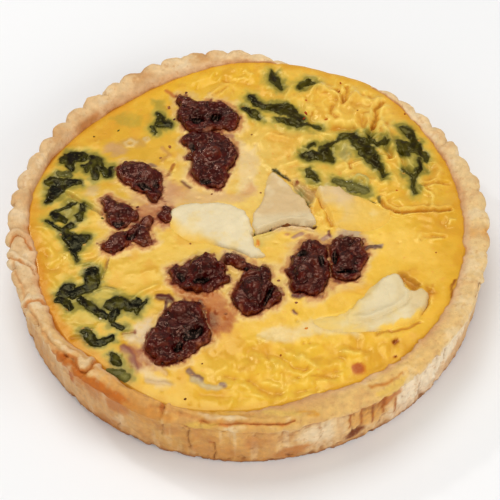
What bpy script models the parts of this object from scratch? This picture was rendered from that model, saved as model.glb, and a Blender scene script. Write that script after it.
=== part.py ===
"""A whole quiche: a fluted pastry case filled with set custard, with crumbled dark pudding,
cheese slices and wilted spinach leaves half sunk in its top. Metres, +Z up, base on z = 0."""

import math
import random

import bmesh
import bpy
from mathutils import Vector
from mathutils.bvhtree import BVHTree

MM = 0.001
GAP = 0.4 * MM  # clearance between neighbouring pieces

# Pastry case
BASE_RADIUS = 101.8 * MM
RIM_RADIUS = 104.6 * MM  # mean outer radius at the rim, between the flutes' peaks and valleys
CASE_HEIGHT = 30.0 * MM
FLOOR_THICKNESS = 5.5 * MM
FLOOR_RADIUS = 89.0 * MM
RIM_CREST_INSET = 3.6 * MM  # from the rim's outer radius to its highest line
FLUTES = 60
COLUMNS_PER_FLUTE = 4
FLUTE_DEPTH = 1.15 * MM  # half of peak to valley, where the flutes are crisp

# The case is pressed flatter and has slumped at its back right: (azimuth, half width, amount)
FLAT_SIDE = (48.0, 42.0, 4.2 * MM)
SLUMP = (66.0, 26.0, 7.0 * MM)
SLUMP_SHOULDER = (35.0, 25.0, 1.5 * MM)
# Creases across the rim at the left, and the lobe of pastry folded inwards below them
CREASES = ((184.0, 3.0, 1.6 * MM), (203.0, 2.5, 1.3 * MM))
FOLDED_LOBE = (224.0, 8.0, 2.6 * MM)
FRONT_LIP = (285.0, 62.0, 0.7 * MM)  # worn rim that overhangs the wall a little

# Custard
CUSTARD_COLUMNS = 80  # each lies on a column of the case
CUSTARD_RINGS = 9
CUSTARD_RADIUS = 95.4 * MM
CUSTARD_LEVEL = 27.2 * MM
CUSTARD_BACK_DIP = (130.0, 50.0, 2.8 * MM)
CUSTARD_PUFF_EDGE = (62.0, 34.0, 1.0 * MM)
EDGE_WIDENINGS = ((158.0, 26.0, 2.8 * MM), (92.0, 16.0, 2.0 * MM), (288.0, 26.0, -2.2 * MM))
# Folds of the skin in mm: x0, y0, x1, y1, half width, height (grooves are negative)
FOLDS = (
    (30, 88, 46, 74, 7, 1.6),
    (46, 76, 50, 88, 3, -2.0),
    (52, 84, 62, 66, 6, 1.8),
    (60, 68, 60, 54, 3, -2.0),
    (66, 62, 66, 38, 5, 2.0),
    (72, 60, 82, 44, 5, 1.2),
    (62, 34, 62, 16, 3, -2.0),
    (66, 8, 90, 5, 3, -1.6),
    (70, 24, 84, 12, 7, 1.8),
    (38, 60, 52, 62, 5, 1.4),
    (20, 56, 44, 53, 3, -1.4),
    (-4, -84, 30, -70, 6, 1.2),
    (8, -64, 40, -62, 6, 1.2),
    (40, -84, 66, -66, 7, 1.0),
    (-90, -12, -80, -28, 5, 1.2),
    (-64, -22, -46, -28, 4, 1.2),
)

# Dark pudding, in mm: rise above the custard, then lumps as x, y, radius
PUDDING = {
    "pudding_chunk_01": (5.5, ((-26, 71, 5.5), (-20, 67, 6.5), (-12, 66, 6), (-6, 63, 5.5))),
    "pudding_chunk_02": (5.0, ((-23, 47, 4.5), (-16, 46, 6.5), (-15, 36, 9), (-7, 37, 5), (-12, 27, 5.5))),
    "pudding_chunk_03": (4.5, ((-54, 32, 5), (-47, 31, 6), (-41, 28, 4.5), (-41, 21, 4.5))),
    "pudding_chunk_04": (4.0, ((-63, 15, 4.5), (-57, 10, 6.5), (-51, 10, 4))),
    "pudding_chunk_05": (3.8, ((-60, -9, 4.5), (-54, -5, 5), (-48, -1.5, 4.5), (-44, -6, 4))),
    "pudding_chunk_06": (5.5, ((-31, -25, 5), (-25, -26, 6.5), (-19, -24, 7.5), (-13, -28, 5))),
    "pudding_chunk_07": (5.5, ((-6, -19, 4), (-1, -23, 4), (3, -29, 6), (1, -38, 8), (9, -38, 5))),
    "pudding_chunk_08": (5.5, ((29, -14, 5), (23, -25, 6), (26, -29, 7), (24, -35, 5))),
    "pudding_chunk_09": (5.0, ((44, -14, 6), (46, -22, 6.5), (43, -28, 4))),
    "pudding_chunk_10": (6.0, ((-24, -46, 5.5), (-28, -50, 6.5), (-21, -58, 6), (-31, -60, 8), (-38, -63, 7))),
}
PUDDING_DEPTH = 5.0 * MM  # how far a chunk reaches below the custard's surface
CHUNK_SIDES = 18
LUMP_EDGE = 0.85  # value of lump_field at a chunk's edge
LUMP_REACH = 40.0  # mm, further than any chunk's edge from its centre
SINK = 1.6 * MM  # depth of a half sunk piece's widest line below the skin

# Cheese slices, in mm: rise above the custard, then the slice's corners, clockwise from above
CHEESE = {
    "cheese_slice_1": (1.6, ((-34, 8), (-28, 15), (-6, 13), (1, 5), (7, -17), (2, -19), (-6, -12), (-26, -9))),
    "cheese_slice_2": (1.8, ((13, 33), (32, 1), (17, -3), (4, -4))),
    "cheese_slice_3": (1.4, ((31, 19), (40, 21), (67, 8), (64, -4), (38, -3))),
    "cheese_slice_4": (1.8, ((4, -55), (32, -41), (58, -28), (79, -32), (77, -46), (46, -55))),
}
CHEESE_THICKNESS = 4.0 * MM

# Spinach, in mm: points of the leaf's middle line, then its half width at each point
SPINACH = {
    "spinach_leaf_01": (((-86, 45), (-80, 43), (-76, 39)), (2.8, 4.2, 2.0)),
    "spinach_leaf_02": (((-72, 30), (-69, 41), (-66, 36), (-62, 31)), (1.4, 2.0, 1.9, 1.3)),
    "spinach_leaf_03": (((-91, 21), (-85, 25), (-79, 26), (-74, 30)), (3.0, 5.0, 4.0, 1.8)),
    "spinach_leaf_04": (((-83, 36), (-78, 34)), (1.8, 1.5)),
    "spinach_leaf_05": (((-87, 11), (-83, 7), (-80, 4)), (1.4, 2.2, 1.4)),
    "spinach_leaf_06": (((-81, 14), (-75, 15), (-72, 9), (-74, 4)), (0.9, 1.7, 1.9, 1.1)),
    "spinach_leaf_07": (((-82, 0), (-77, -5), (-74, -11), (-75, -17)), (1.5, 4.0, 3.2, 0.9)),
    "spinach_leaf_08": (((-73, -21), (-69, -25), (-64, -30)), (2.6, 4.4, 2.4)),
    "spinach_leaf_09": (((-85, -31), (-81, -37), (-78, -43)), (2.2, 4.4, 2.2)),
    "spinach_leaf_10": (((-76, -32), (-72, -37), (-68, -42), (-63, -50)), (1.8, 1.6, 1.4, 1.0)),
    "spinach_leaf_11": (((-63, -37), (-58, -42), (-55, -48)), (2.0, 4.4, 2.6)),
    "spinach_leaf_12": (((-49, -45), (-44, -38), (-40, -32)), (2.0, 2.0, 0.8)),
    "spinach_leaf_13": (((-72, -55), (-65, -59), (-58, -61)), (2.4, 3.6, 2.0)),
    "spinach_leaf_14": (((-59, -65), (-55, -69)), (1.8, 2.0)),
    "spinach_leaf_15": (((-58, -73), (-54, -75), (-50, -77)), (1.6, 2.6, 1.6)),
    "spinach_leaf_16": (((14, 91), (16, 86), (19, 81)), (1.8, 3.0, 1.5)),
    "spinach_leaf_17": (((27, 81), (31, 84), (36, 84)), (1.0, 1.7, 0.8)),
    "spinach_leaf_18": (((3, 77), (8, 73), (15, 70), (23, 64), (31, 58)), (1.4, 2.0, 2.4, 3.0, 2.0)),
    "spinach_leaf_19": (((1, 68), (4, 65), (7, 61)), (1.4, 2.2, 1.2)),
    "spinach_leaf_20": (((41, 47), (47, 51), (53, 48), (57, 40), (60, 32), (64, 26)), (1.2, 1.8, 3.4, 4.4, 2.8, 1)),
    "spinach_leaf_21": (((27, 36), (33, 38), (39, 43)), (2.8, 3.4, 2.2)),
    "spinach_leaf_22": (((29, 30), (31, 27), (33, 24)), (1.3, 2.1, 1.3)),
    "spinach_leaf_23": (((40, 28), (47, 24), (56, 18)), (1.5, 2.4, 2.2)),
    "spinach_leaf_24": (((58, 55), (59, 49), (64, 45)), (1.0, 1.5, 1.5)),
    "spinach_leaf_25": (((72, 56), (76, 51), (80, 44)), (1.8, 2.8, 1.8)),
    "spinach_leaf_26": (((70, 45), (73, 40), (76, 36)), (2.0, 3.2, 2.8)),
    "spinach_leaf_27": (((72, 30), (77, 25), (82, 31)), (0.9, 1.4, 1.1)),
    "spinach_leaf_28": (((84, 41), (86, 37), (86, 33)), (0.8, 1.3, 0.9)),
    "spinach_leaf_29": (((-44, 67), (-40, 62), (-37, 57)), (2.2, 3.8, 2.0)),
}
LEAF_THICKNESS = 0.9 * MM
LEAF_WAVE = 0.35 * MM

# Small pieces set in the skin, in mm: x, y, half length, half width, heading in degrees, rise
SMALL_BITS = (
    (-22, -78, 4.2, 1.7, -35, 0.9),  # red onion
    (-15, -83, 4.0, 1.6, -10, 0.8),
    (-61, 46, 5.0, 4.2, 20, 0.7),  # pale onion
    (-50, 53, 4.6, 3.4, 0, 0.9),
    (29, 63, 2.6, 1.6, 50, 1.1),  # chilli flakes
    (38, 60, 1.9, 1.2, 10, 0.8),
    (-49, -55, 4.0, 4.6, 30, 0.9),  # curds and crumbs of meat
    (-40, -79, 7.0, 3.6, -25, 0.9),
    (-49, -69, 4.6, 3.6, -40, 1.0),
    (-35, 7, 2.9, 2.3, 60, 1.4),  # pudding crumbs
    (-37, -39, 2.5, 2.2, 0, 1.2),
    (21, -42, 2.2, 1.6, 20, 1.1),
    (56, -13, 3.0, 1.5, 0, 1.1),
    (-12, -48, 4.4, 5.2, 40, 0.9),
)

COLOURS = {
    "pastry": (0.78, 0.56, 0.30, 1.0),
    "custard": (0.86, 0.55, 0.09, 1.0),
    "pudding": (0.07, 0.022, 0.017, 1.0),
    "cheese": (0.80, 0.64, 0.38, 1.0),
    "spinach": (0.06, 0.055, 0.015, 1.0),
}
ROUGHNESS = {"pastry": 0.7, "custard": 0.32, "pudding": 0.5, "cheese": 0.45, "spinach": 0.4}


def bump(azimuth, centre, half_width):
    """1 at the centre, falling smoothly to 0 at half_width degrees from it."""
    offset = abs((azimuth - centre + 180.0) % 360.0 - 180.0)
    if offset >= half_width:
        return 0.0
    return math.cos(0.5 * math.pi * offset / half_width) ** 2


def smooth_step(value):
    t = min(1.0, max(0.0, value))
    return t * t * (3.0 - 2.0 * t)


def polar(radius, azimuth, z):
    angle = math.radians(azimuth)
    return Vector((radius * math.cos(angle), radius * math.sin(angle), z))


def rim_height(azimuth):
    wave = 0.35 * math.sin(math.radians(3 * azimuth + 40)) + 0.25 * math.sin(math.radians(7 * azimuth))
    drop = SLUMP[2] * bump(azimuth, *SLUMP[:2]) + SLUMP_SHOULDER[2] * bump(azimuth, *SLUMP_SHOULDER[:2])
    for centre, width, depth in CREASES:
        drop += depth * bump(azimuth, centre, width)
    return CASE_HEIGHT - 0.6 * MM + wave * MM - drop


def rim_radius(azimuth):
    wave = 0.5 * math.sin(math.radians(2 * azimuth - 30)) + 0.3 * math.sin(math.radians(5 * azimuth + 15))
    inward = FLAT_SIDE[2] * bump(azimuth, *FLAT_SIDE[:2])
    for centre, width, depth in CREASES:
        inward += 0.5 * depth * bump(azimuth, centre, width)
    outward = FRONT_LIP[2] * bump(azimuth, *FRONT_LIP[:2])
    return RIM_RADIUS + wave * MM - inward + outward


def flute_depth(azimuth):
    """The flutes are crisp at the back and left, and worn at the front and right."""
    crisp = max(bump(azimuth, 140.0, 75.0) ** 0.5, 0.5 * bump(azimuth, 25.0, 60.0))
    return FLUTE_DEPTH * (0.25 + 0.75 * crisp)


def flute_wave(column):
    """Rounded peaks with a sharp valley between them, from 1 down to -1."""
    phase = (column % COLUMNS_PER_FLUTE) / COLUMNS_PER_FLUTE
    return 2.0 * abs(math.cos(math.pi * phase)) ** 0.8 - 1.0


def custard_edge_height(azimuth):
    dip = CUSTARD_BACK_DIP[2] * bump(azimuth, *CUSTARD_BACK_DIP[:2])
    return CUSTARD_LEVEL - dip - CUSTARD_PUFF_EDGE[2] * bump(azimuth, *CUSTARD_PUFF_EDGE[:2])


def over_rim(azimuth):
    """1 where the custard has risen above the slumped rim and lies on it, 0 elsewhere."""
    rise = custard_edge_height(azimuth) - rim_height(azimuth)
    return smooth_step((rise - 0.2 * MM) / (2.2 * MM))


def custard_edge_radius(azimuth):
    radius = CUSTARD_RADIUS
    for centre, width, amount in EDGE_WIDENINGS:
        radius += amount * bump(azimuth, centre, width)
    radius -= FOLDED_LOBE[2] * bump(azimuth, *FOLDED_LOBE[:2])
    radius = min(radius, rim_radius(azimuth) - 6.0 * MM)
    cover = over_rim(azimuth)
    return (1.0 - cover) * radius + cover * (rim_radius(azimuth) - 1.6 * MM)


def lip(azimuth):
    """Radius and height of the inner edge of the rim, where the custard's skin meets the pastry."""
    cover = over_rim(azimuth)
    plain = Vector((custard_edge_radius(azimuth) + GAP, custard_edge_height(azimuth) - 2.2 * MM))
    slumped = Vector((rim_radius(azimuth) - 7.0 * MM, rim_height(azimuth) - 1.4 * MM))
    return plain.lerp(slumped, cover)


def loft(rings, bottom_centre, top_centre, name):
    """A closed mesh from rings of equal length, lowest first, with a fan at each end."""
    mesh = bmesh.new()
    rows = [[mesh.verts.new(point) for point in ring] for ring in rings]
    count = len(rows[0])
    for lower, upper in zip(rows, rows[1:]):
        for i in range(count):
            j = (i + 1) % count
            mesh.faces.new((lower[i], lower[j], upper[j], upper[i]))
    for row, centre, order in ((rows[0], bottom_centre, -1), (rows[-1], top_centre, 1)):
        hub = mesh.verts.new(centre)
        for i in range(count):
            mesh.faces.new((row[i], row[(i + 1) % count], hub)[::order])
    data = bpy.data.meshes.new(name)
    mesh.to_mesh(data)
    mesh.free()
    return bpy.data.objects.new(name, data)


def make_case():
    """Outer wall from the base up to the crest, then down the inner side to the floor."""
    rings = [[] for _ in range(9)]
    columns = FLUTES * COLUMNS_PER_FLUTE
    randomness = random.Random(11)
    uneven = [randomness.uniform(0.7, 1.25) for _ in range(FLUTES)]
    for column in range(columns):
        azimuth = 360.0 * column / columns
        top = rim_height(azimuth)
        outer = rim_radius(azimuth)
        flute = flute_wave(column) * flute_depth(azimuth) * uneven[column // COLUMNS_PER_FLUTE]
        base = BASE_RADIUS - 0.4 * (RIM_RADIUS - outer)
        lip_radius, lip_z = lip(azimuth)
        profile = (
            (base - 1.4 * MM + 0.3 * flute, 0.0),
            (base + 0.4 * flute, 1.6 * MM),
            (outer - 0.9 * MM + 0.8 * flute, top - 6.0 * MM),
            (outer + flute, top - 2.2 * MM),
            (outer - 1.4 * MM + flute, top - 0.4 * MM),
            (outer - RIM_CREST_INSET + 0.7 * flute, top),
            (0.5 * (outer - RIM_CREST_INSET + lip_radius) + 0.5 * MM, 0.55 * top + 0.45 * lip_z),
            (lip_radius, lip_z),
            (FLOOR_RADIUS, FLOOR_THICKNESS),
        )
        for ring, (radius, z) in zip(rings, profile):
            ring.append(polar(radius, azimuth, z))
    return loft(rings, (0, 0, 0), (0, 0, FLOOR_THICKNESS), "pastry_case")


def fold_height(x, y, fold):
    """Height added at a point by one ridge or groove of the skin."""
    start, end = Vector(fold[0:2]) * MM, Vector(fold[2:4]) * MM
    along = end - start
    t = min(1.0, max(0.0, (Vector((x, y)) - start).dot(along) / along.length_squared))
    distance = (Vector((x, y)) - start - t * along).length / (fold[4] * MM)
    return fold[5] * MM * math.exp(-distance * distance)


def skin_height(x, y):
    """Height of the custard's top: level, lower towards its back left edge, with folds."""
    radius = math.hypot(x, y)
    azimuth = math.degrees(math.atan2(y, x)) % 360.0
    share = min(1.0, radius / custard_edge_radius(azimuth))
    level = CUSTARD_LEVEL + (custard_edge_height(azimuth) - CUSTARD_LEVEL) * share ** 3
    wave = 0.35 * math.sin(90 * x + 1.0) * math.cos(70 * y) + 0.25 * math.sin(150 * y - 60 * x)
    folds = sum(fold_height(x, y, fold) for fold in FOLDS)
    return level + (wave * MM + folds) * (1.0 - smooth_step((share - 0.9) / 0.1))


def make_custard():
    """Filling that follows the inner side of the case, and its uneven top."""
    rings = [[] for _ in range(4 + CUSTARD_RINGS)]
    for column in range(CUSTARD_COLUMNS):
        azimuth = 360.0 * column / CUSTARD_COLUMNS
        edge = custard_edge_radius(azimuth)
        edge_z = custard_edge_height(azimuth)
        cover = over_rim(azimuth)
        lip_radius, lip_z = lip(azimuth)
        under = (1.0 - cover) * (edge_z - 1.2 * MM) + cover * (rim_height(azimuth) + 0.7 * MM)
        side = (
            (FLOOR_RADIUS - 0.6 * MM, FLOOR_THICKNESS + GAP),
            (lip_radius - 0.7 * MM, lip_z + 0.2 * MM + 1.0 * MM * cover),
            (edge, under),
            (edge - 1.0 * MM, edge_z),
        )
        for ring, (radius, z) in zip(rings, side):
            ring.append(polar(radius, azimuth, z))
        for i in range(CUSTARD_RINGS):
            radius = (edge - 1.0 * MM) * (1.0 - (i + 1) / (CUSTARD_RINGS + 1))
            point = polar(radius, azimuth, 0.0)
            point.z = skin_height(point.x, point.y)
            rings[4 + i].append(point)
    return loft(rings, (0, 0, FLOOR_THICKNESS + GAP), (0, 0, skin_height(0, 0)), "custard")


def lumps_outline(lumps, count):
    """Centre of a group of lumps that run into each other, and the way from it to their outer edge."""
    centre = sum((Vector((x, y)) * r for x, y, r in lumps), Vector((0, 0))) / sum(r for _, _, r in lumps)
    edge = []
    for i in range(count):
        angle = 2.0 * math.pi * i / count
        direction = Vector((math.cos(angle), math.sin(angle)))
        reach = LUMP_REACH
        while reach > 1.0 and lump_field(centre + reach * direction, lumps) < LUMP_EDGE:
            reach -= 0.2
        edge.append(direction * reach * MM)
    return centre * MM, edge


def lump_field(point, lumps):
    """Falls from the middle of each lump outwards; lumps close to each other add up."""
    shares = [(point - Vector((x, y))).length / r for x, y, r in lumps]
    return sum(math.exp(1.3 * (1.0 - share * share)) for share in shares)


def corners_outline(corners):
    """Centre of a slice with these corners, rounded by cutting them twice, and the way to its edge."""
    points = [Vector(corner) for corner in reversed(corners)]
    for _ in range(2):
        nexts = points[1:] + points[:1]
        points = [p.lerp(q, t) for p, q in zip(points, nexts) for t in (0.22, 0.78)]
    centre = sum(points, Vector((0, 0))) / len(points)
    return centre * MM, [(point - centre) * MM for point in points]


def make_mound(name, outline, layers, depth, crag, seed):
    """A piece half sunk in the skin. Layers are its share of the outline and its height above the skin."""
    centre, edge = outline
    randomness = random.Random(seed)
    floor = skin_height(centre.x, centre.y) - depth
    rings = []
    for level, (share, height) in enumerate(layers):
        ring = []
        for way in edge:
            rough = randomness.uniform(-crag, crag) if height > 0 else 0.0
            x, y = centre + way * share + way.normalized() * min(0.0, rough)
            z = floor if level == 0 else skin_height(x, y) + height + rough
            ring.append((x, y, z))
        rings.append(ring)
    top = (centre.x, centre.y, skin_height(centre.x, centre.y) + layers[-1][1] + 0.5 * crag)
    return loft(rings, (centre.x, centre.y, floor), top, name)


def make_pocket(name, outline, share, depth):
    """Cutter for a piece's pocket, one gap larger than its sunk part, and open upwards."""
    centre, edge = outline
    floor = skin_height(centre.x, centre.y) - depth - GAP
    rings = [[], [], []]
    for way in edge:
        waist = centre + way
        low = centre + way * share + way.normalized() * 1.5 * GAP
        wide = centre + way + way.normalized() * 1.5 * GAP
        rings[0].append((low.x, low.y, floor))
        rings[1].append((wide.x, wide.y, skin_height(waist.x, waist.y) - SINK - GAP))
        rings[2].append((wide.x, wide.y, 2.0 * CASE_HEIGHT))
    return loft(rings, (centre.x, centre.y, floor), (centre.x, centre.y, 2.0 * CASE_HEIGHT), name)


def chunk_layers(rise):
    return ((0.7, -PUDDING_DEPTH), (1.0, -SINK), (0.95, 0.45 * rise), (0.74, 0.85 * rise), (0.4, rise))


def slice_layers(rise):
    return ((0.92, -CHEESE_THICKNESS), (1.0, -SINK), (0.97, 0.5 * rise), (0.85, rise))


def make_bit(x, y, half_length, half_width, heading, rise):
    """A small rounded piece that stands out of the skin by its rise."""
    mesh = bmesh.new()
    bmesh.ops.create_icosphere(mesh, subdivisions=2, radius=1.0)
    data = bpy.data.meshes.new("bit")
    mesh.to_mesh(data)
    mesh.free()
    bit = bpy.data.objects.new("bit", data)
    bit.scale = (half_length * MM, half_width * MM, 1.6 * MM)
    bit.rotation_euler.z = math.radians(heading)
    bit.location = (x * MM, y * MM, skin_height(x * MM, y * MM) + rise * MM - 1.6 * MM)
    return bit


def evaluated_mesh(obj):
    depsgraph = bpy.context.evaluated_depsgraph_get()
    return bpy.data.meshes.new_from_object(obj.evaluated_get(depsgraph))


def fuse(obj, pieces, name):
    """One Boolean union of a group of pieces with an object, applied; the pieces are then removed."""
    group = bpy.data.collections.new(name)
    bpy.context.scene.collection.children.link(group)
    for piece in pieces:
        group.objects.link(piece)
    union = obj.modifiers.new("union", "BOOLEAN")
    union.operation = "UNION"
    union.operand_type = "COLLECTION"
    union.collection = group
    bpy.context.view_layer.update()
    joined = evaluated_mesh(obj)
    obj.modifiers.clear()
    obj.data = joined
    for piece in pieces:
        bpy.data.objects.remove(piece)
    bpy.data.collections.remove(group)


def cut_pockets(obj, cutters):
    """One Boolean difference for each pocket, applied; the cutters are then removed."""
    for cutter in cutters:
        cut = obj.modifiers.new("pocket", "BOOLEAN")
        cut.operation = "DIFFERENCE"
        cut.object = cutter
    bpy.context.view_layer.update()
    pocketed = evaluated_mesh(obj)
    obj.modifiers.clear()
    obj.data = pocketed
    for cutter in cutters:
        bpy.data.objects.remove(cutter)


def make_leaf(name, line, half_widths, skin, seed):
    """A wavy strip laid over the skin, thickened upwards."""
    randomness = random.Random(seed)
    points = [Vector(p) * MM for p in line]
    stations = []
    for k in range(len(points) - 1):
        for t, swell in ((0.0, 1.0), (0.5, 1.18)):
            width = half_widths[k] + t * (half_widths[k + 1] - half_widths[k])
            stations.append((points[k].lerp(points[k + 1], t), width * swell * MM))
    stations.append((points[-1], half_widths[-1] * MM))
    mesh = bmesh.new()
    rows = []
    for i, (place, width) in enumerate(stations):
        before = stations[max(0, i - 1)][0]
        after = stations[min(len(stations) - 1, i + 1)][0]
        side = (after - before).normalized().orthogonal()
        row = []
        for across in (-1.0, 0.0, 1.0):
            spot = place + side * width * across
            wave = LEAF_WAVE * (randomness.random() + 0.6 * math.cos(2.2 * i + 2.0 * across))
            row.append(mesh.verts.new((spot.x, spot.y, skin_top(skin, spot) + 0.5 * MM + max(0.0, wave))))
        rows.append(row)
    for lower, upper in zip(rows, rows[1:]):
        for k in range(2):
            mesh.faces.new((lower[k], lower[k + 1], upper[k + 1]))
            mesh.faces.new((lower[k], upper[k + 1], upper[k]))
    bmesh.ops.recalc_face_normals(mesh, faces=mesh.faces)
    if sum(face.normal.z for face in mesh.faces) < 0:
        bmesh.ops.reverse_faces(mesh, faces=mesh.faces)
    data = bpy.data.meshes.new(name)
    mesh.to_mesh(data)
    mesh.free()
    leaf = bpy.data.objects.new(name, data)
    shell = leaf.modifiers.new("thickness", "SOLIDIFY")
    shell.thickness = LEAF_THICKNESS
    shell.offset = 1.0
    return leaf


def skin_top(skin, spot):
    """Highest point of the skin's faces close to a spot."""
    highest = 0.0
    for i in range(9):
        reach = (1.7 * MM if i else 0.0)
        start = Vector((spot.x, spot.y, 0.0)) + polar(reach, 45.0 * i, 2.0 * CASE_HEIGHT)
        hit = skin.ray_cast(start, Vector((0, 0, -1)))[0]
        if hit is not None:
            highest = max(highest, hit.z)
    return highest


def material(name):
    finish = bpy.data.materials.new(name)
    finish.use_nodes = True
    shader = finish.node_tree.nodes["Principled BSDF"]
    shader.inputs["Base Color"].default_value = COLOURS[name]
    shader.inputs["Roughness"].default_value = ROUGHNESS[name]
    shader.inputs["Metallic"].default_value = 0.0
    return finish


def finish_piece(obj, collection, finish):
    collection.objects.link(obj)
    obj.data.materials.clear()
    obj.data.materials.append(finish)
    obj.data.shade_smooth()
    obj.data.set_sharp_from_angle(angle=math.radians(40))


def main():
    for obj in list(bpy.data.objects):
        bpy.data.objects.remove(obj)
    quiche = bpy.data.collections.new("quiche")
    bpy.context.scene.collection.children.link(quiche)
    finishes = {name: material(name) for name in COLOURS}

    finish_piece(make_case(), quiche, finishes["pastry"])

    custard = make_custard()
    finish_piece(custard, quiche, finishes["custard"])
    fuse(custard, [make_bit(*bit) for bit in SMALL_BITS], "small_bits")

    cutters = []
    for seed, (name, (rise, lumps)) in enumerate(PUDDING.items()):
        outline = lumps_outline(lumps, CHUNK_SIDES)
        chunk = make_mound(name, outline, chunk_layers(rise * MM), PUDDING_DEPTH, 0.9 * MM, 100 + seed)
        finish_piece(chunk, quiche, finishes["pudding"])
        cutters.append(make_pocket(name + "_pocket", outline, chunk_layers(0)[0][0], PUDDING_DEPTH))
    for seed, (name, (rise, corners)) in enumerate(CHEESE.items()):
        outline = corners_outline(corners)
        piece = make_mound(name, outline, slice_layers(rise * MM), CHEESE_THICKNESS, 0.2 * MM, 200 + seed)
        finish_piece(piece, quiche, finishes["cheese"])
        cutters.append(make_pocket(name + "_pocket", outline, slice_layers(0)[0][0], CHEESE_THICKNESS))
    pockets = bpy.data.collections.new("pockets")
    bpy.context.scene.collection.children.link(pockets)
    for cutter in cutters:
        pockets.objects.link(cutter)
    cut_pockets(custard, cutters)
    bpy.data.collections.remove(pockets)

    surface = bmesh.new()
    surface.from_mesh(custard.data)
    skin = BVHTree.FromBMesh(surface)
    for seed, (name, (line, half_widths)) in enumerate(SPINACH.items()):
        finish_piece(make_leaf(name, line, half_widths, skin, 300 + seed), quiche, finishes["spinach"])
    surface.free()


main()
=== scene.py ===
import math

import bmesh
import bpy
import numpy as np
from mathutils import Matrix, Vector


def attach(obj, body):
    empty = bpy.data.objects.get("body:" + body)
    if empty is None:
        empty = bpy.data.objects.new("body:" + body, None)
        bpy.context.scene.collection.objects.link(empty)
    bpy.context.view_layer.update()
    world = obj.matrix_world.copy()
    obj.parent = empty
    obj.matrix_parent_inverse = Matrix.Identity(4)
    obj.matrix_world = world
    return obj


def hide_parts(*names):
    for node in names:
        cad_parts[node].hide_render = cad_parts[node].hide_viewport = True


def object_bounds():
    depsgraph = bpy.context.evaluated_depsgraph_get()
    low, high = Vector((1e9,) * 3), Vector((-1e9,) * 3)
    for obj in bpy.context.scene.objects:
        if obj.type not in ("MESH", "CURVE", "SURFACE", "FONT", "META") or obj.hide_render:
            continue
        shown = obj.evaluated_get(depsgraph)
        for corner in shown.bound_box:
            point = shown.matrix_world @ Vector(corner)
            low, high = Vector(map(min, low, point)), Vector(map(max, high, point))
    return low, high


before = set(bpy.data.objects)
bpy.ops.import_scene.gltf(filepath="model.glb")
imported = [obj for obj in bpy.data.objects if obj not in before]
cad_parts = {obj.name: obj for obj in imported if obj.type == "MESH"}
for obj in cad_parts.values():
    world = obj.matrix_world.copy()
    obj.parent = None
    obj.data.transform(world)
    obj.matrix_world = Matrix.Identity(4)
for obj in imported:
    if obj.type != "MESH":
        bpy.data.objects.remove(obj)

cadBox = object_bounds()
scene = bpy.context.scene
mm = 0.001  # shapes are worked out in mm and turned into metres when a mesh is made
print("frame loaded:", len(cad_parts), "nodes")


# smooth noise and small sums that every piece uses

def cornerHash(ix, iy, iz, seed):
    n = (ix * 374761393 + iy * 668265263 + iz * 1103515245 + seed * 362437) & 0xFFFFFFFF
    n = ((n ^ (n >> 13)) * 1274126177) & 0xFFFFFFFF
    return ((n ^ (n >> 16)) & 0xFFFF) / 32767.5 - 1.0


def softNoise(p, size, seed=0):  # from -1 to 1, with features about size mm wide
    q = np.asarray(p, float) / size
    base = np.floor(q).astype(np.int64)
    f = q - base
    f = f * f * (3.0 - 2.0 * f)
    total = 0.0
    for dx in (0, 1):
        wx = f[:, 0] if dx else 1.0 - f[:, 0]
        for dy in (0, 1):
            wy = f[:, 1] if dy else 1.0 - f[:, 1]
            for dz in (0, 1):
                wz = f[:, 2] if dz else 1.0 - f[:, 2]
                corner = cornerHash(base[:, 0] + dx, base[:, 1] + dy, base[:, 2] + dz, seed)
                total = total + wx * wy * wz * corner
    return total


def layeredNoise(p, size, layers=3, seed=0):
    total = 0.0
    for k in range(layers):
        total = total + softNoise(p, size / 2.0 ** k, seed + 17 * k) * 0.55 ** k
    return total / 1.5


def ridgeNoise(p, size, layers=2, seed=0):  # sharp crests, from about -1 to 1
    return 1.0 - 2.6 * np.abs(layeredNoise(p, size, layers, seed))


def flat(x, y, z=0.0):  # plan coordinates as points for the noise
    return np.stack([x, y, np.full_like(x, z)], 1)


# nearest and second nearest of scattered points, and the nearest's own number
def cellPattern(p, size, seed=0):
    q = np.asarray(p, float) / size
    base = np.floor(q).astype(np.int64)
    first = np.full(len(q), 9.0)
    second = np.full(len(q), 9.0)
    label = np.zeros(len(q))
    for dx in (-1, 0, 1):
        for dy in (-1, 0, 1):
            for dz in (-1, 0, 1):
                cell = base + np.array((dx, dy, dz))
                spot = []
                for k in (1, 2, 3):
                    spot.append(cornerHash(cell[:, 0], cell[:, 1], cell[:, 2], seed + k) * 0.5 + 0.5)
                d = np.sqrt(((np.stack(spot, 1) + cell - q) ** 2).sum(1))
                number = cornerHash(cell[:, 0], cell[:, 1], cell[:, 2], seed + 7)
                closer = d < first
                second = np.where(closer, first, np.minimum(second, d))
                first = np.where(closer, d, first)
                label = np.where(closer, number, label)
    return first, second, label


def step(low, high, value):  # 0 at low, 1 at high, smooth between
    t = np.clip((value - low) / (high - low), 0.0, 1.0)
    return t * t * (3.0 - 2.0 * t)


def bump(azimuth, centre, halfWidth):
    offset = np.abs((azimuth - centre + 180.0) % 360.0 - 180.0)
    return np.where(offset < halfWidth, np.cos(0.5 * np.pi * np.minimum(offset / halfWidth, 1.0)) ** 2, 0.0)


def lineDistance(x, y, points, widths=None):  # mm to a line, less its half width where given
    best = np.full(x.shape, 1e9)
    for k in range(len(points) - 1):
        ax, ay = points[k]
        bx, by = points[k + 1]
        length2 = (bx - ax) ** 2 + (by - ay) ** 2 + 1e-9
        t = np.clip(((x - ax) * (bx - ax) + (y - ay) * (by - ay)) / length2, 0.0, 1.0)
        d = np.hypot(x - ax - t * (bx - ax), y - ay - t * (by - ay))
        rank = d if widths is None else d - widths[k] - t * (widths[k + 1] - widths[k])
        closer = rank < best
        best = np.where(closer, rank, best)
    return best


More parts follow.
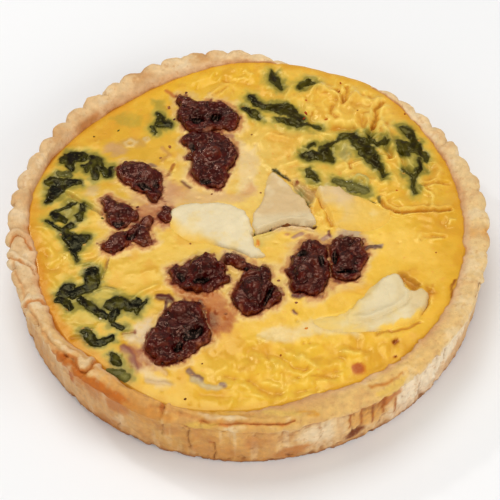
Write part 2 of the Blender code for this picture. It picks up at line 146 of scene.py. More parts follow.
def insideDistance(x, y, outline):  # mm inside a closed outline, negative outside
    closed = np.vstack([outline, outline[:1]])
    distance = lineDistance(x, y, closed)
    inside = np.zeros(x.shape, bool)
    for (ax, ay), (bx, by) in zip(closed[:-1], closed[1:]):
        crosses = (ay > y) != (by > y)
        span = by - ay if by != ay else 1e-9
        inside ^= crosses & (x < (bx - ax) * (y - ay) / span + ax)
    return np.where(inside, distance, -distance)


def roundCorners(corners, times=2):
    points = np.array(corners, float)
    for _ in range(times):
        nexts = np.roll(points, -1, 0)
        points = np.stack([points * 0.78 + nexts * 0.22, points * 0.22 + nexts * 0.78], 1).reshape(-1, 2)
    return points


def nearOutline(x, y, outline, margin):  # which points are worth testing against an outline
    low, high = np.min(outline, 0) - margin, np.max(outline, 0) + margin
    return (x > low[0]) & (x < high[0]) & (y > low[1]) & (y < high[1])


def linear(colour):  # display colour 0-255 to the renderer's scale
    c = np.asarray(colour, float) / 255.0
    return np.where(c <= 0.04045, c / 12.92, ((c + 0.055) / 1.055) ** 2.4)


def blendColour(tone, colour, share):  # tone is one row for each point
    share = np.clip(share, 0.0, 1.0)[:, None]
    return tone * (1.0 - share) + np.asarray(colour, float) * share


def paintLayers(tone, colours, layers):  # each layer is a colour's name and how much of it
    for name, share in layers:
        tone = blendColour(tone, colours[name], share)
    return tone


# making meshes

def makeMesh(name, points, quads, triangles, tones, finish, slot):  # points in mm, tones 0-255
    mesh = bpy.data.meshes.new(name)
    mesh.vertices.add(len(points))
    mesh.vertices.foreach_set("co", (np.asarray(points, np.float32) * mm).ravel())
    loops = np.concatenate([np.ravel(quads), np.ravel(triangles)]).astype(np.int32)
    starts = np.concatenate([np.arange(len(quads)) * 4, len(quads) * 4 + np.arange(len(triangles)) * 3])
    mesh.loops.add(len(loops))
    mesh.loops.foreach_set("vertex_index", loops)
    mesh.polygons.add(len(starts))
    mesh.polygons.foreach_set("loop_start", starts.astype(np.int32))
    mesh.update(calc_edges=True)
    mesh.validate()
    mesh.shade_smooth()
    paintTones(mesh, tones, slot)
    mesh.materials.append(finish)
    piece = bpy.data.objects.new(name, mesh)
    scene.collection.objects.link(piece)
    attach(piece, "root")
    return piece


# tones are as they look in the light, so the light and the shine come off first
def paintTones(mesh, tones, slot):
    layer = mesh.attributes.new("tone", "FLOAT_COLOR", "POINT")
    rgba = np.ones((len(mesh.vertices), 4), np.float32)
    bare = (linear(np.clip(tones, 0, 255)) - np.array(studio["shine"][slot])) / studio["brightness"]
    rgba[:, :3] = np.clip(bare, 0.001, 1.0)
    layer.data.foreach_set("color", rgba.ravel())


def gridFaces(rows, columns, around=True, start=0):  # quads between rows of equal length
    r, c = np.meshgrid(np.arange(rows - 1), np.arange(columns if around else columns - 1), indexing="ij")
    nextColumn = (c + 1) % columns
    a = r * columns + c
    b = r * columns + nextColumn
    return np.stack([a, b, b + columns, a + columns], -1).reshape(-1, 4) + start


def patchGrid(low, high, spacing):
    xs = np.arange(low[0], high[0] + spacing, spacing)
    ys = np.arange(low[1], high[1] + spacing, spacing)
    x, y = np.meshgrid(xs, ys, indexing="ij")
    return x.ravel(), y.ravel(), (len(xs), len(ys))


def patchFaces(keep, shape):  # quads of the cells whose four corners are kept, and the patch's edges in order
    nx, ny = shape
    index = np.arange(nx * ny).reshape(nx, ny)
    kept = keep.reshape(nx, ny)
    cell = kept[:-1, :-1] & kept[1:, :-1] & kept[:-1, 1:] & kept[1:, 1:]
    a, b, c, d = index[:-1, :-1], index[1:, :-1], index[1:, 1:], index[:-1, 1:]
    faces = np.stack([a[cell], b[cell], c[cell], d[cell]], 1)
    padded = np.pad(cell, 1)
    core = padded[1:-1, 1:-1]
    sides = []
    for beside, start, end in ((padded[1:-1, :-2], a, b), (padded[2:, 1:-1], b, c),
                               (padded[1:-1, 2:], c, d), (padded[:-2, 1:-1], d, a)):
        rim = core & ~beside
        sides.append(np.stack([start[rim], end[rim]], 1))
    return faces, np.vstack(sides)


def compact(faces, sides, count):  # renumber so that only used points are left
    used = np.zeros(count, bool)
    used[faces.ravel()] = True
    number = np.cumsum(used) - 1
    return used, number[faces], number[sides]


# the case's shape

tin = {
    "baseRadius": 101.8,
    # how far out the rim reaches, as azimuth and radius
    "rim": ((0, 103.8), (11, 103.5), (20, 102.2), (30, 101.2), (40, 101.4), (50, 101.2), (58, 100.2),
            (66, 98.2), (74, 98.8), (83, 101.0), (90, 103.4), (97, 104.3), (106, 104.2), (117, 103.5),
            (130, 102.9), (143, 102.8), (157, 103.3), (164, 104.0), (172, 103.3), (180, 103.0), (187, 102.7),
            (195, 101.9), (202, 101.2), (212, 101.2), (222, 101.6), (235, 101.6), (250, 101.8), (262, 102.2),
            (275, 103.0), (285, 102.7), (300, 102.7), (315, 103.1), (330, 103.6), (344, 103.3), (353, 104.0)),
    "height": 30.0,
    "crestInset": 3.6,
    "floorRadius": 86.0,
    "floorHeight": 5.5,
    "flutes": 59,
    "firstFlute": 90.3,
    "fluteDepth": 1.2,
    "slump": (66.0, 26.0, 7.0),  # azimuth, half width in degrees, mm down
    "slumpShoulder": (35.0, 25.0, 1.5),
    "narrowLip": (243.0, 16.0),  # here the rim is a narrow lip with a sloping shoulder outside it
}

filling = {
    "level": 27.2,
    "backDip": (130.0, 50.0, 2.8),
    "puffEdge": (62.0, 34.0, 1.0),
    # where the custard ends, as azimuth and radius
    "edge": ((4, 93.2), (15, 94.0), (28, 94.4), (36, 95.2), (44, 97.4), (54, 99.0), (64, 98.6), (74, 97.0),
             (85, 96.2), (93, 96.5), (102, 95.0), (112, 93.6), (126, 92.8), (142, 94.4), (155, 95.8),
             (166, 96.9), (174, 95.4), (180, 94.4), (184, 92.4), (189, 91.4), (196, 92.4), (203, 93.3),
             (208, 93.0), (213, 94.2), (218, 94.8), (222, 93.0), (226, 91.6), (230, 92.6), (238, 93.8),
             (246, 94.9), (251, 95.5), (256, 94.8), (263, 93.4), (271, 92.4), (281, 89.8), (293, 90.0),
             (303, 92.0), (312, 93.2), (316, 91.9), (322, 93.2), (332, 93.8), (345, 93.3)),
}


def rimHeight(azimuth):
    turn = np.radians(azimuth)
    wave = 0.35 * np.sin(3 * turn + math.radians(40)) + 0.25 * np.sin(7 * turn)
    drop = tin["slump"][2] * bump(azimuth, *tin["slump"][:2])
    drop = drop + tin["slumpShoulder"][2] * bump(azimuth, *tin["slumpShoulder"][:2])
    return tin["height"] - 0.6 + wave - drop


def aroundTable(table, azimuth, blur):  # a number read from a table round the case, with its corners softened
    places = np.array([a for a, _ in table], float)
    values = np.array([v for _, v in table], float)
    total = 0.0
    for offset, weight in ((-blur, 0.25), (0.0, 0.5), (blur, 0.25)):
        total = total + weight * np.interp(azimuth + offset, places, values, period=360.0)
    return total


def rimRadius(azimuth):
    return aroundTable(tin["rim"], azimuth, 5.0)


def edgeHeight(azimuth):
    drop = filling["backDip"][2] * bump(azimuth, *filling["backDip"][:2])
    return filling["level"] - drop - filling["puffEdge"][2] * bump(azimuth, *filling["puffEdge"][:2])


def edgeRadius(azimuth):
    return np.minimum(aroundTable(filling["edge"], azimuth, 2.5), rimRadius(azimuth) - 1.6)


def overRim(azimuth):  # 1 where the custard lies on the slumped rim
    return step(0.2, 2.4, edgeHeight(azimuth) - rimHeight(azimuth)) * step(38.0, 48.0, azimuth)


# camera at the viewing angle, 53 degrees down

view = {"distance": 0.70, "elevation": 53.0, "roll": -1.9, "lens": 115.2, "aim": 0.016,
        "shift": (0.005, -0.0182)}


def makeCamera():
    data = bpy.data.cameras.new("camera")
    data.lens = view["lens"]
    data.sensor_width = 36.0
    data.shift_x, data.shift_y = view["shift"]
    camera = bpy.data.objects.new("camera", data)
    scene.collection.objects.link(camera)
    lift = math.radians(view["elevation"])
    back = Vector((0.0, -math.cos(lift), math.sin(lift)))
    right = Vector((1.0, 0.0, 0.0))
    up = back.cross(right)
    turned = Matrix((right, up, back)).transposed() @ Matrix.Rotation(math.radians(view["roll"]), 3, "Z")
    place = back * view["distance"] + Vector((0, 0, view["aim"]))
    camera.matrix_world = Matrix.Translation(place) @ turned.to_4x4()
    scene.camera = camera


studio = {
    "floor": (0.87, 0.87, 0.87),
    "sky": 0.40,
    "brightness": 1.08,
    "shine": {"custard": (0.034, 0.029, 0.010), "pudding": (0.020, 0.012, 0.009),
              "spinach": (0.028, 0.025, 0.012),
              "cheese": (0.020, 0.018, 0.015), "pastry": (0.012, 0.011, 0.009)},
    "lights": (  # name, place in metres, size, watts
        ("key", (-0.12, 0.36, 1.00), 0.50, 4.5),
        ("glint", (-0.66, 0.62, 0.78), 0.07, 1.9),
        ("side", (0.90, -0.45, 0.60), 0.60, 4.2),
        ("front", (-0.30, -1.05, 0.50), 0.80, 5.0),
    ),
}


def makeStudio():
    mesh = bpy.data.meshes.new("floor")
    side = 3.0
    corners = [(-side, -side, 0), (side, -side, 0), (side, side, 0), (-side, side, 0)]
    mesh.from_pydata(corners, [], [(0, 1, 2, 3)])
    floor = bpy.data.objects.new("floor", mesh)
    floor.location.z = cadBox[0][2]
    scene.collection.objects.link(floor)
    paint = bpy.data.materials.new("paleFloor")
    paint.use_nodes = True
    paint.node_tree.nodes["Principled BSDF"].inputs["Base Color"].default_value = (*studio["floor"], 1.0)
    paint.node_tree.nodes["Principled BSDF"].inputs["Roughness"].default_value = 0.8
    mesh.materials.append(paint)
    world = bpy.data.worlds.new("world")
    world.use_nodes = True
    world.node_tree.nodes["Background"].inputs["Color"].default_value = (1.0, 0.99, 0.97, 1.0)
    world.node_tree.nodes["Background"].inputs["Strength"].default_value = studio["sky"]
    scene.world = world
    for name, place, size, watts in studio["lights"]:
        data = bpy.data.lights.new(name, "AREA")
        data.energy = watts
        data.size = size
        lamp = bpy.data.objects.new(name, data)
        lamp.location = place
        lamp.rotation_euler = (-Vector(place)).to_track_quat("-Z", "Y").to_euler()
        scene.collection.objects.link(lamp)
    scene.view_settings.view_transform = "Standard"


makeCamera()
makeStudio()
print("camera and studio made")


# one recipe for every food surface: the painted tone, mottled, flecked, grained, and unevenly moist

def foodMaterial(name, look):
    finish = bpy.data.materials.new(name)
    finish.use_nodes = True
    nodes, links = finish.node_tree.nodes, finish.node_tree.links
    shader = nodes["Principled BSDF"]
    place = nodes.new("ShaderNodeTexCoord")
    tone = nodes.new("ShaderNodeAttribute")
    tone.attribute_name = "tone"

    def noise(scale, detail):
        node = nodes.new("ShaderNodeTexNoise")
        node.inputs["Scale"].default_value = scale
        node.inputs["Detail"].default_value = detail
        links.new(place.outputs["Object"], node.inputs["Vector"])
        return node.outputs["Fac"]

    def spread(value, fromLow, fromHigh, toLow, toHigh):
        node = nodes.new("ShaderNodeMapRange")
        ends = {"From Min": fromLow, "From Max": fromHigh, "To Min": toLow, "To Max": toHigh}
        for socket, number in ends.items():
            node.inputs[socket].default_value = number
        links.new(value, node.inputs["Value"])
        return node.outputs["Result"]

    def mix(kind, factor, first, second):
        node = nodes.new("ShaderNodeMix")
        node.data_type = "RGBA"
        node.blend_type = kind
        node.inputs["Factor"].default_value = 1.0
        if factor is not None:
            links.new(factor, node.inputs["Factor"])
        links.new(first, node.inputs["A"])
        if isinstance(second, tuple):
            node.inputs["B"].default_value = (*linear(second), 1.0)
        else:
            links.new(second, node.inputs["B"])
        return node.outputs["Result"]

    mottle = noise(look["mottleScale"], 6.0)
    fine = noise(look["grainScale"], 5.0)
    colour = mix("MULTIPLY", None, tone.outputs["Color"],
                 spread(mottle, 0.3, 0.7, 1.0 - look["mottle"], 1.0 + look["mottle"]))
    fleck = noise(look["fleckScale"], 3.0)
    low, high, amount = look["fleck"]
    colour = mix("MIX", spread(fleck, low, high, 0.0, amount), colour, look["fleckColour"])
    links.new(colour, shader.inputs["Base Color"])
    height = nodes.new("ShaderNodeMath")
    height.operation = "MULTIPLY_ADD"
    links.new(mottle, height.inputs[0])
    height.inputs[1].default_value = look["swell"]
    links.new(fine, height.inputs[2])
    rise = nodes.new("ShaderNodeBump")
    rise.inputs["Strength"].default_value = look["grain"]
    rise.inputs["Distance"].default_value = look["grainDepth"]
    links.new(height.outputs["Value"], rise.inputs["Height"])
    links.new(rise.outputs["Normal"], shader.inputs["Normal"])
    links.new(spread(mottle, 0.35, 0.65, *look["rough"]), shader.inputs["Roughness"])
    shader.inputs["Specular IOR Level"].default_value = look["gloss"]
    shader.inputs["Specular Tint"].default_value = (*look["shineColour"], 1.0)
    shader.inputs["Subsurface Weight"].default_value = look["soft"]
    shader.inputs["Subsurface Radius"].default_value = look["softRadius"]
    shader.inputs["Subsurface Scale"].default_value = 0.002
    return finish


# dark pudding: outline in mm, rise above the custard, rounded lumps on it (x, y, radius, height),
# hollows (x, y, half length, half width, heading, depth)

puddingChunks = {
    "pudding_chunk_01": {
        "rise": 5.5,
        "outline": ((-30.5, 76.5), (-27.5, 77.5), (-24, 75.5), (-21, 72), (-18.5, 71), (-15, 73), (-13, 70.5),
                    (-11, 72), (-7, 70), (-3.5, 66.5), (-1.5, 61.5), (-2.5, 57.5), (-6.5, 53.8), (-10, 55),
                    (-13.5, 54.5), (-19.5, 52.5), (-24, 54), (-28.5, 60), (-30.5, 63.5), (-29.5, 69)),
        "lumps": ((-7.5, 62, 5.5, 4.6), (-24, 69, 5.0, 3.6), (-15, 57, 4.0, 2.8)),
        "hollows": ((-21, 60.5, 3.5, 2.2, 0, 3.2), (-12.5, 61.5, 2.8, 2.0, 20, 3.0)),
    },
    "pudding_chunk_02": {
        "rise": 5.0,
        "outline": ((-25.5, 53.5), (-22, 55), (-17, 54), (-13, 54.5), (-8.5, 50), (-4, 45.5), (-3, 40.5),
                    (-4.5, 35.5), (-6.5, 32), (-7.5, 27), (-10.5, 22.5), (-12.5, 20.5), (-14.5, 23),
                    (-18, 22), (-21.5, 25.5), (-24.5, 30), (-23.5, 36.5), (-28, 39.5), (-24.5, 41.5),
                    (-26, 45), (-28.5, 48)),
        "lumps": ((-14, 40, 8.0, 4.6), (-20, 31, 3.6, 3.8), (-9.5, 33, 4.0, 3.6)),
        "hollows": ((-17.5, 24.5, 3.4, 1.5, -10, 2.6), (-23.5, 44, 1.8, 2.8, 10, 1.8)),
    },
    "pudding_chunk_03": {
        "rise": 4.5,
        "outline": ((-56.5, 35), (-53.5, 37.5), (-49.5, 37), (-46.5, 37.5), (-44.5, 36), (-42, 33),
                    (-39, 32.5), (-36.5, 29.5), (-36, 26), (-36.5, 21), (-36.5, 16.5), (-39.5, 14.5),
                    (-43, 15.5), (-45.5, 19), (-48.5, 21), (-51.5, 24), (-54.5, 27), (-57, 32)),
        "lumps": ((-52, 33, 4.6, 3.6), (-43.5, 29.5, 5.0, 3.8)),
        "hollows": ((-44.5, 22.5, 4.0, 1.9, -25, 3.2), (-39.5, 23.5, 1.8, 1.4, 0, 2.0)),
    },
    "pudding_chunk_04": {
        "rise": 4.0,
        "outline": ((-64, 16), (-61.5, 18), (-59, 17), (-57, 15.5), (-55, 14), (-50, 12.5), (-47.5, 10),
                    (-47, 6.5), (-48.5, 3.5), (-51.5, 2), (-55, 1), (-58, 1), (-59.5, 3), (-61.5, 9)),
        "lumps": ((-54, 9.5, 5.6, 3.6), (-60.5, 14, 3.6, 2.6)),
        "hollows": ((-55.5, 2.5, 3.2, 1.5, 0, 2.4),),
    },
    "pudding_chunk_05": {
        "rise": 3.8,
        "outline": ((-63.5, -8.5), (-60.5, -5.5), (-58, -4), (-56, -1.8), (-51, -1.5), (-47.5, 3.5), (-44, 6),
                    (-40, 6.5), (-39.5, 4), (-43, 0), (-41.5, -5), (-40.5, -7.5), (-44, -9), (-47, -8),
                    (-50, -8.5), (-53, -11), (-55.5, -13.5), (-59, -13.5), (-61.5, -11.5)),
        "lumps": ((-57, -8, 4.6, 3.2), (-45.5, -3.5, 4.0, 3.0)),
        "hollows": ((-50, -4.5, 2.4, 1.4, 40, 1.8),),
    },
    "pudding_chunk_06": {
        "rise": 5.5,
        "outline": ((-34, -24.5), (-32, -21), (-29.5, -21.5), (-28, -22.5), (-26.5, -19.5), (-23, -16.5),
                    (-19, -15), (-15.5, -16), (-12, -19.5), (-10, -22), (-10.5, -25.5), (-8, -28.5),
                    (-8, -30.5), (-10.5, -31.5), (-13, -34), (-17, -35.5), (-22, -34.5), (-27, -33),
                    (-29.5, -31), (-32.5, -27.5)),
        "lumps": ((-19.5, -22.5, 7.0, 5.2), (-31, -25, 3.2, 3.0), (-13, -30, 3.2, 2.4)),
        "hollows": ((-20, -29.5, 4.2, 1.8, 10, 2.4), (-28.5, -27.5, 1.6, 2.6, 40, 1.8)),
    },
    "pudding_chunk_07": {
        "rise": 5.5,
        "outline": ((-12, -17.5), (-8.5, -15), (-4.5, -14.5), (-2, -18.5), (2.5, -21.5), (7, -23), (9.5, -25),
                    (10.5, -27.5), (9, -30.5), (11, -32.5), (12, -36), (13.5, -38.5), (12.5, -41), (8.5, -44),
                    (3.5, -46.5), (-1, -47.5), (-3.5, -46), (-8, -38.5), (-7.5, -36), (-4.5, -29.5),
                    (-1, -26), (-5.5, -22.5), (-10, -21)),
        "lumps": ((1.5, -34.5, 6.6, 5.6), (-3.5, -40.5, 4.4, 3.8), (-6.5, -18, 3.4, 2.8),
                  (6.5, -26, 3.2, 3.4)),
        "hollows": ((8, -38.5, 1.2, 5.0, -28, 3.4), (-1, -24.5, 1.4, 1.2, 0, 1.6)),
    },
    "pudding_chunk_08": {
        "rise": 5.5,
        "outline": ((21.5, -12.5), (24.5, -9.5), (27, -8), (29.5, -8.5), (31.5, -11.5), (34.4, -15),
                    (34.6, -20), (35, -24), (35, -27), (33.5, -31), (31.5, -35.5), (31, -37.5), (26.5, -39),
                    (23.5, -38), (18.5, -36), (16.5, -32.5), (17, -29), (15.5, -26), (18, -23.5), (18, -19),
                    (20.5, -17)),
        "lumps": ((23.5, -27.5, 5.6, 5.4), (28.5, -13.5, 4.2, 3.8), (27, -35, 3.6, 2.6)),
        "hollows": ((22.5, -17.5, 2.8, 1.8, 20, 2.8), (31, -22, 1.4, 3.0, 0, 1.6)),
    },
    "pudding_chunk_09": {
        "rise": 5.0,
        "outline": ((37, -10.5), (40, -8.5), (44, -8), (47.5, -9.5), (50, -13.5), (51, -17.5), (50, -21),
                    (47.8, -26), (46, -31), (41, -32.5), (37.5, -31), (35, -28.5), (34.6, -25), (34, -21),
                    (34.2, -15)),
        "lumps": ((41.5, -21, 5.2, 4.4), (42.5, -12, 4.2, 3.6), (47.5, -17, 3.2, 3.4), (41.5, -30, 4.2, 2.0)),
        "hollows": ((41.5, -27.3, 5.4, 1.0, 2, 2.6), (36.8, -20, 1.2, 3.4, 0, 2.4)),
    },
    "pudding_crumb_11": {
        "rise": 3.2,
        "outline": ((-38, 11.5), (-34.5, 12.5), (-32, 8.5), (-31.5, 3), (-35, 2.5), (-38, 5)),
        "lumps": ((-34.5, 7.5, 3.2, 2.6),),
        "hollows": (),
    },
    "pudding_chunk_10": {
        "rise": 6.0,
        "outline": ((-44, -62.5), (-42, -57), (-39.5, -51), (-38, -48), (-35, -45.5), (-32, -42), (-29, -40),
                    (-24.5, -39.5), (-20.5, -41), (-19, -43.5), (-19, -46.5), (-18.5, -49), (-17.5, -52),
                    (-18, -54), (-16.5, -58), (-17.5, -61), (-20, -62.5), (-23.5, -64.5), (-27, -68.5),
                    (-31, -70.5), (-37, -70), (-41, -66)),
        "lumps": ((-22.5, -44.5, 4.2, 4.4), (-28.5, -46, 5.6, 4.8), (-36.5, -60, 7.0, 4.6),
                  (-36, -51, 4.0, 3.6)),
        "hollows": ((-23.5, -56.5, 5.4, 2.6, 30, 4.2), (-29.5, -62.5, 3.0, 1.8, 60, 3.2)),
    },
}

puddingLook = {"mottleScale": 520.0, "mottle": 0.3, "grainScale": 1250.0, "grain": 0.6, "grainDepth": 0.00022,
               "swell": 0.8, "fleckScale": 700.0, "fleck": (0.60, 0.72, 0.5), "fleckColour": (120, 62, 44),
               "rough": (0.08, 0.3), "shineColour": (1.0, 0.58, 0.42), "gloss": 0.4, "soft": 0.0,
               "softRadius": (1.0, 0.4, 0.3)}
puddingShape = {"spacing": 0.42, "voxel": 0.42, "wall": 2.4, "lumpSize": 7.5, "crevice": 0.34}
# the greyer colour is a painted sheen on upward-facing tops, and the darkest one painted shade in crevices,
# hollows and on downward-facing sides
puddingColours = {"body": (68, 24, 15), "topSheen": (98, 58, 50), "dark": (30, 10, 6), "red": (100, 38, 20),
                  "rim": (130, 64, 38), "smear": (168, 118, 88)}


def puddingField(x, y, look, seed):  # mm inside the ragged outline, crevices and lump numbers
    p = flat(x, y)
    wx = x + 1.7 * layeredNoise(p, 5.0, 4, seed) + 0.55 * layeredNoise(p, 1.7, 2, seed + 1)
    wy = y + 1.7 * layeredNoise(p, 5.0, 4, seed + 2) + 0.55 * layeredNoise(p, 1.7, 2, seed + 3)
    inner = insideDistance(wx, wy, roundCorners(look["outline"], 1))
    warped = flat(x + 1.6 * layeredNoise(p, 4.0, 2, seed + 4), y + 1.6 * layeredNoise(p, 4.0, 2, seed + 5))
    first, second, label = cellPattern(warped, puddingShape["lumpSize"], seed + 6)
    return inner, step(0.0, puddingShape["crevice"], second - first), label, p


def puddingTop(x, y, look, seed):
    inner, lump, label, p = puddingField(x, y, look, seed)
    wall = np.clip(inner / puddingShape["wall"], 0.0, 1.0)
    crown = np.sqrt(1.0 - (1.0 - wall) ** 2)
    height = look["rise"] * crown * (0.54 + 0.10 * label + 0.34 * layeredNoise(p, 5.5, 3, seed + 8))
    height = height - 0.5 * (1.0 - lump) * crown
    for lx, ly, radius, top in look["lumps"]:
        away = np.hypot(x - lx, y - ly) / radius
        dome = np.where(away < 1.0, 0.92 * top * (1.0 - away ** 3.0), -9.0)
        height = np.maximum(height, dome + 0.2 * (lump - 1.0) + 0.7 * layeredNoise(p, 4.0, 3, seed + 11))
    deep = np.zeros(len(x))
    for hx, hy, length, width, heading, depth in look["hollows"]:
        turn = math.radians(heading)
        along = ((x - hx) * math.cos(turn) + (y - hy) * math.sin(turn)) / length
        across = (-(x - hx) * math.sin(turn) + (y - hy) * math.cos(turn)) / width
        share = np.exp(-np.hypot(along, across) ** 3)
        height = height - depth * share
        deep = np.maximum(deep, share)
    return np.maximum(height, -0.6), inner, lump, label, deep


# spinach: each leaf is one or more strokes, as points of its middle line and half widths in mm

spinachLeaves = {
    "spinach_leaf_01": ((((-81.5, 41.5), (-78.5, 43), (-73.5, 43)), (2.2, 3.2, 2.6)),
                        (((-78.5, 40), (-77, 36)), (2.4, 1.6))),
    "spinach_leaf_02": ((((-68, 42), (-67, 37), (-67, 29.5)), (1.6, 2.4, 1.3)),
                        (((-67, 41), (-64.5, 36), (-61.5, 31)), (1.8, 1.8, 1.4)),
                        (((-61.5, 31), (-60, 34.5)), (1.2, 0.9)),
                        (((-73, 37.5), (-70.5, 37.5), (-70.5, 34.5)), (0.8, 1.3, 0.8))),
    "spinach_leaf_03": ((((-86.5, 28.5), (-81, 26.5), (-74, 28)), (2.2, 3.6, 1.6)),
                        (((-81.5, 26), (-85, 21), (-86.5, 18.5)), (3.6, 3.0, 1.6))),
    "spinach_leaf_04": ((((-82.5, 32.5), (-80.5, 33), (-78.5, 31.5)), (1.2, 1.5, 1.0)),),
    "spinach_leaf_05": ((((-83.5, 10), (-82, 8), (-80, 6.5)), (1.5, 2.2, 1.5)),),
    "spinach_leaf_06": ((((-83, 11.5), (-78.5, 13), (-76, 15), (-74.5, 15.5)), (0.5, 0.7, 1.1, 0.6)),
                        (((-71.5, 14.5), (-71.5, 11), (-73, 9), (-73, 6)), (0.8, 1.2, 1.3, 0.7))),
    "spinach_leaf_07": ((((-76, 3.5), (-79, 1), (-78, -2)), (1.2, 1.5, 1.6)),
                        (((-78, -2), (-75, -5), (-74.5, -9)), (2.0, 3.4, 2.4)),
                        (((-75, -3.5), (-70, -3.5), (-70.5, -5.5)), (2.0, 1.8, 1.3)),
                        (((-75.5, -9), (-74.5, -12), (-72.5, -16)), (1.2, 0.8, 0.4)),
                        (((-86.5, 6), (-83, 2.5), (-80, 1)), (0.6, 0.8, 0.8))),
    "spinach_leaf_08": ((((-66.5, -22.5), (-66, -27), (-65.5, -28.5)), (2.6, 3.3, 2.4)),
                        (((-74, -32.5), (-71, -32), (-67, -30)), (2.4, 2.6, 2.0))),
    "spinach_leaf_09": ((((-78, -32.5), (-75.5, -30.5), (-74, -33.5)), (2.6, 3.0, 2.2)),
                        (((-79.5, -36.5), (-77, -38), (-75, -40.5)), (1.8, 2.2, 1.2))),
    "spinach_leaf_10": ((((-70.5, -36), (-66.5, -40.5), (-63, -43.5), (-59.5, -45)), (1.6, 1.5, 1.6, 1.1)),),
    "spinach_leaf_11": ((((-58, -40), (-55, -38.5), (-52, -39)), (2.6, 3.4, 2.4)),
                        (((-56, -42.5), (-56.5, -47.5)), (1.8, 1.1))),
    "spinach_leaf_12": ((((-51.5, -40.5), (-47.5, -40.5), (-46.5, -38)), (1.6, 2.2, 0.9)),
                        (((-47, -43.5), (-45.5, -40.5), (-43.5, -38)), (1.2, 1.1, 0.5))),
    "spinach_leaf_13": ((((-67.5, -54), (-66, -56), (-63.5, -58.5)), (2.2, 2.0, 1.8)),
                        (((-63.5, -58.5), (-60, -57.5), (-57, -56)), (1.6, 1.8, 1.5)),
                        (((-56, -50), (-54, -51)), (1.4, 1.4))),
    "spinach_leaf_14": ((((-57, -64.5), (-55.5, -67), (-53.5, -68.5)), (1.2, 1.8, 1.2)),),
    "spinach_leaf_15": ((((-57.5, -72), (-54.5, -73.5), (-51, -75.5)), (1.4, 2.6, 1.6)),),
    "spinach_leaf_16": ((((14.5, 90), (15, 84.5), (17.5, 79.5)), (0.8, 2.3, 1.0)),),
    "spinach_leaf_17": ((((26.5, 80), (30, 82.5), (33.5, 82.5)), (0.8, 1.3, 0.4)),),
    "spinach_leaf_18": ((((4, 75), (5.5, 70.5), (9.5, 67.5), (14.5, 67), (21.5, 65), (25.5, 59.5)),
                         (1.0, 1.8, 1.4, 2.0, 2.7, 1.6)),
                        (((16, 60), (20.5, 58), (25.5, 56.5), (34.5, 54.5)), (1.2, 1.6, 1.0, 0.4))),
    "spinach_leaf_19": ((((1, 67), (4, 65.5), (7, 60.5)), (1.0, 1.5, 0.8)),),
    "spinach_leaf_20": ((((49.5, 47.5), (52, 44), (54, 39.5), (56.5, 35)), (1.8, 3.2, 3.4, 2.2)),
                        (((56, 36), (58.5, 30.5), (61.5, 25.5)), (2.4, 1.6, 0.8)),
                        (((49, 49.5), (44.5, 49), (41, 46), (36.5, 42)), (0.8, 0.9, 0.7, 1.3))),
    "spinach_leaf_21": ((((26.5, 38.5), (29.5, 37.5), (33.5, 37)), (1.8, 2.4, 1.8)),
                        (((35.5, 40.5), (36.5, 36.5), (38.5, 34.5)), (1.8, 2.0, 1.2)),
                        (((29, 42.5), (31, 43.5)), (0.7, 0.8))),
    "spinach_leaf_22": ((((28.5, 29), (29.5, 26), (31.5, 23.5)), (1.0, 1.8, 0.8)),),
    "spinach_leaf_23": ((((39.5, 23.5), (42.5, 22), (47, 19), (51.5, 16.5)), (1.0, 1.4, 2.0, 1.9)),),
    "spinach_leaf_24": ((((56, 48.5), (56.5, 44.5), (59, 42.5), (62, 43)), (0.7, 0.9, 1.0, 1.5)),),
    "spinach_leaf_25": ((((71, 51.5), (74, 49.5), (76.5, 44.5), (76, 41)), (1.2, 2.0, 1.8, 1.4)),),
    "spinach_leaf_26": ((((69, 44), (72, 41), (76.5, 38)), (1.2, 2.8, 1.6)),
                        (((70.5, 39), (72, 35)), (2.0, 1.0))),
    "spinach_leaf_27": ((((70, 28), (72, 25), (74.5, 23.5), (77.5, 27.5), (77.5, 34)),
                         (0.6, 0.8, 1.0, 0.8, 0.6)),
                        (((74.5, 23), (73.5, 18), (74, 15)), (0.8, 0.8, 0.4))),
    "spinach_leaf_28": ((((78.5, 42), (78.5, 37), (80.5, 32.5)), (0.7, 0.9, 0.6)),
                        (((80, 37.5), (81, 34)), (0.6, 0.6))),
    "spinach_leaf_29": ((((-38.5, 66.5), (-38, 61.5), (-34, 60)), (1.2, 2.6, 1.5)),
                        (((-41.5, 59.5), (-40, 55.5)), (0.8, 0.4))),
}

leafLook = {"mottleScale": 420.0, "mottle": 0.3, "grainScale": 1200.0, "grain": 0.5, "grainDepth": 0.00014,
            "swell": 0.8, "fleckScale": 700.0, "fleck": (0.62, 0.76, 0.35), "fleckColour": (124, 118, 62),
            "rough": (0.1, 0.3), "shineColour": (1.0, 0.92, 0.42), "gloss": 0.16, "soft": 0.0,
            "softRadius": (0.4, 1.0, 0.3)}
leafShape = {"spacing": 0.42, "reach": 0.8, "thickness": 0.2,
             "paler": ("spinach_leaf_04", "spinach_leaf_15", "spinach_leaf_23")}
# the darkest colour is also painted shade in the crumple's hollows, and the vein colour also a painted
# highlight on its crests
leafColours = {"body": (54, 48, 20), "dark": (34, 30, 13), "olive": (104, 96, 42), "veinAndHighlight": (88, 84, 42),
               "warm": (98, 86, 40), "pale": (136, 128, 68)}


def leafDistance(x, y, strokes, seed):  # mm outside the ragged edge, negative inside
    p = flat(x, y)
    wx = x + 1.1 * layeredNoise(p, 3.4, 4, seed) + 0.15 * softNoise(p, 1.1, seed + 1)
    wy = y + 1.1 * layeredNoise(p, 3.4, 4, seed + 2) + 0.15 * softNoise(p, 1.1, seed + 3)
    nearest = np.full(x.shape, 1e9)
    for points, widths in strokes:
        nearest = np.minimum(nearest, lineDistance(wx, wy, points, widths))
    return nearest


# cheese: outline in mm, rise, how wide its edge is, which way it tilts (x, y, mm),
# and where it sinks into the custard (x, y, radius)

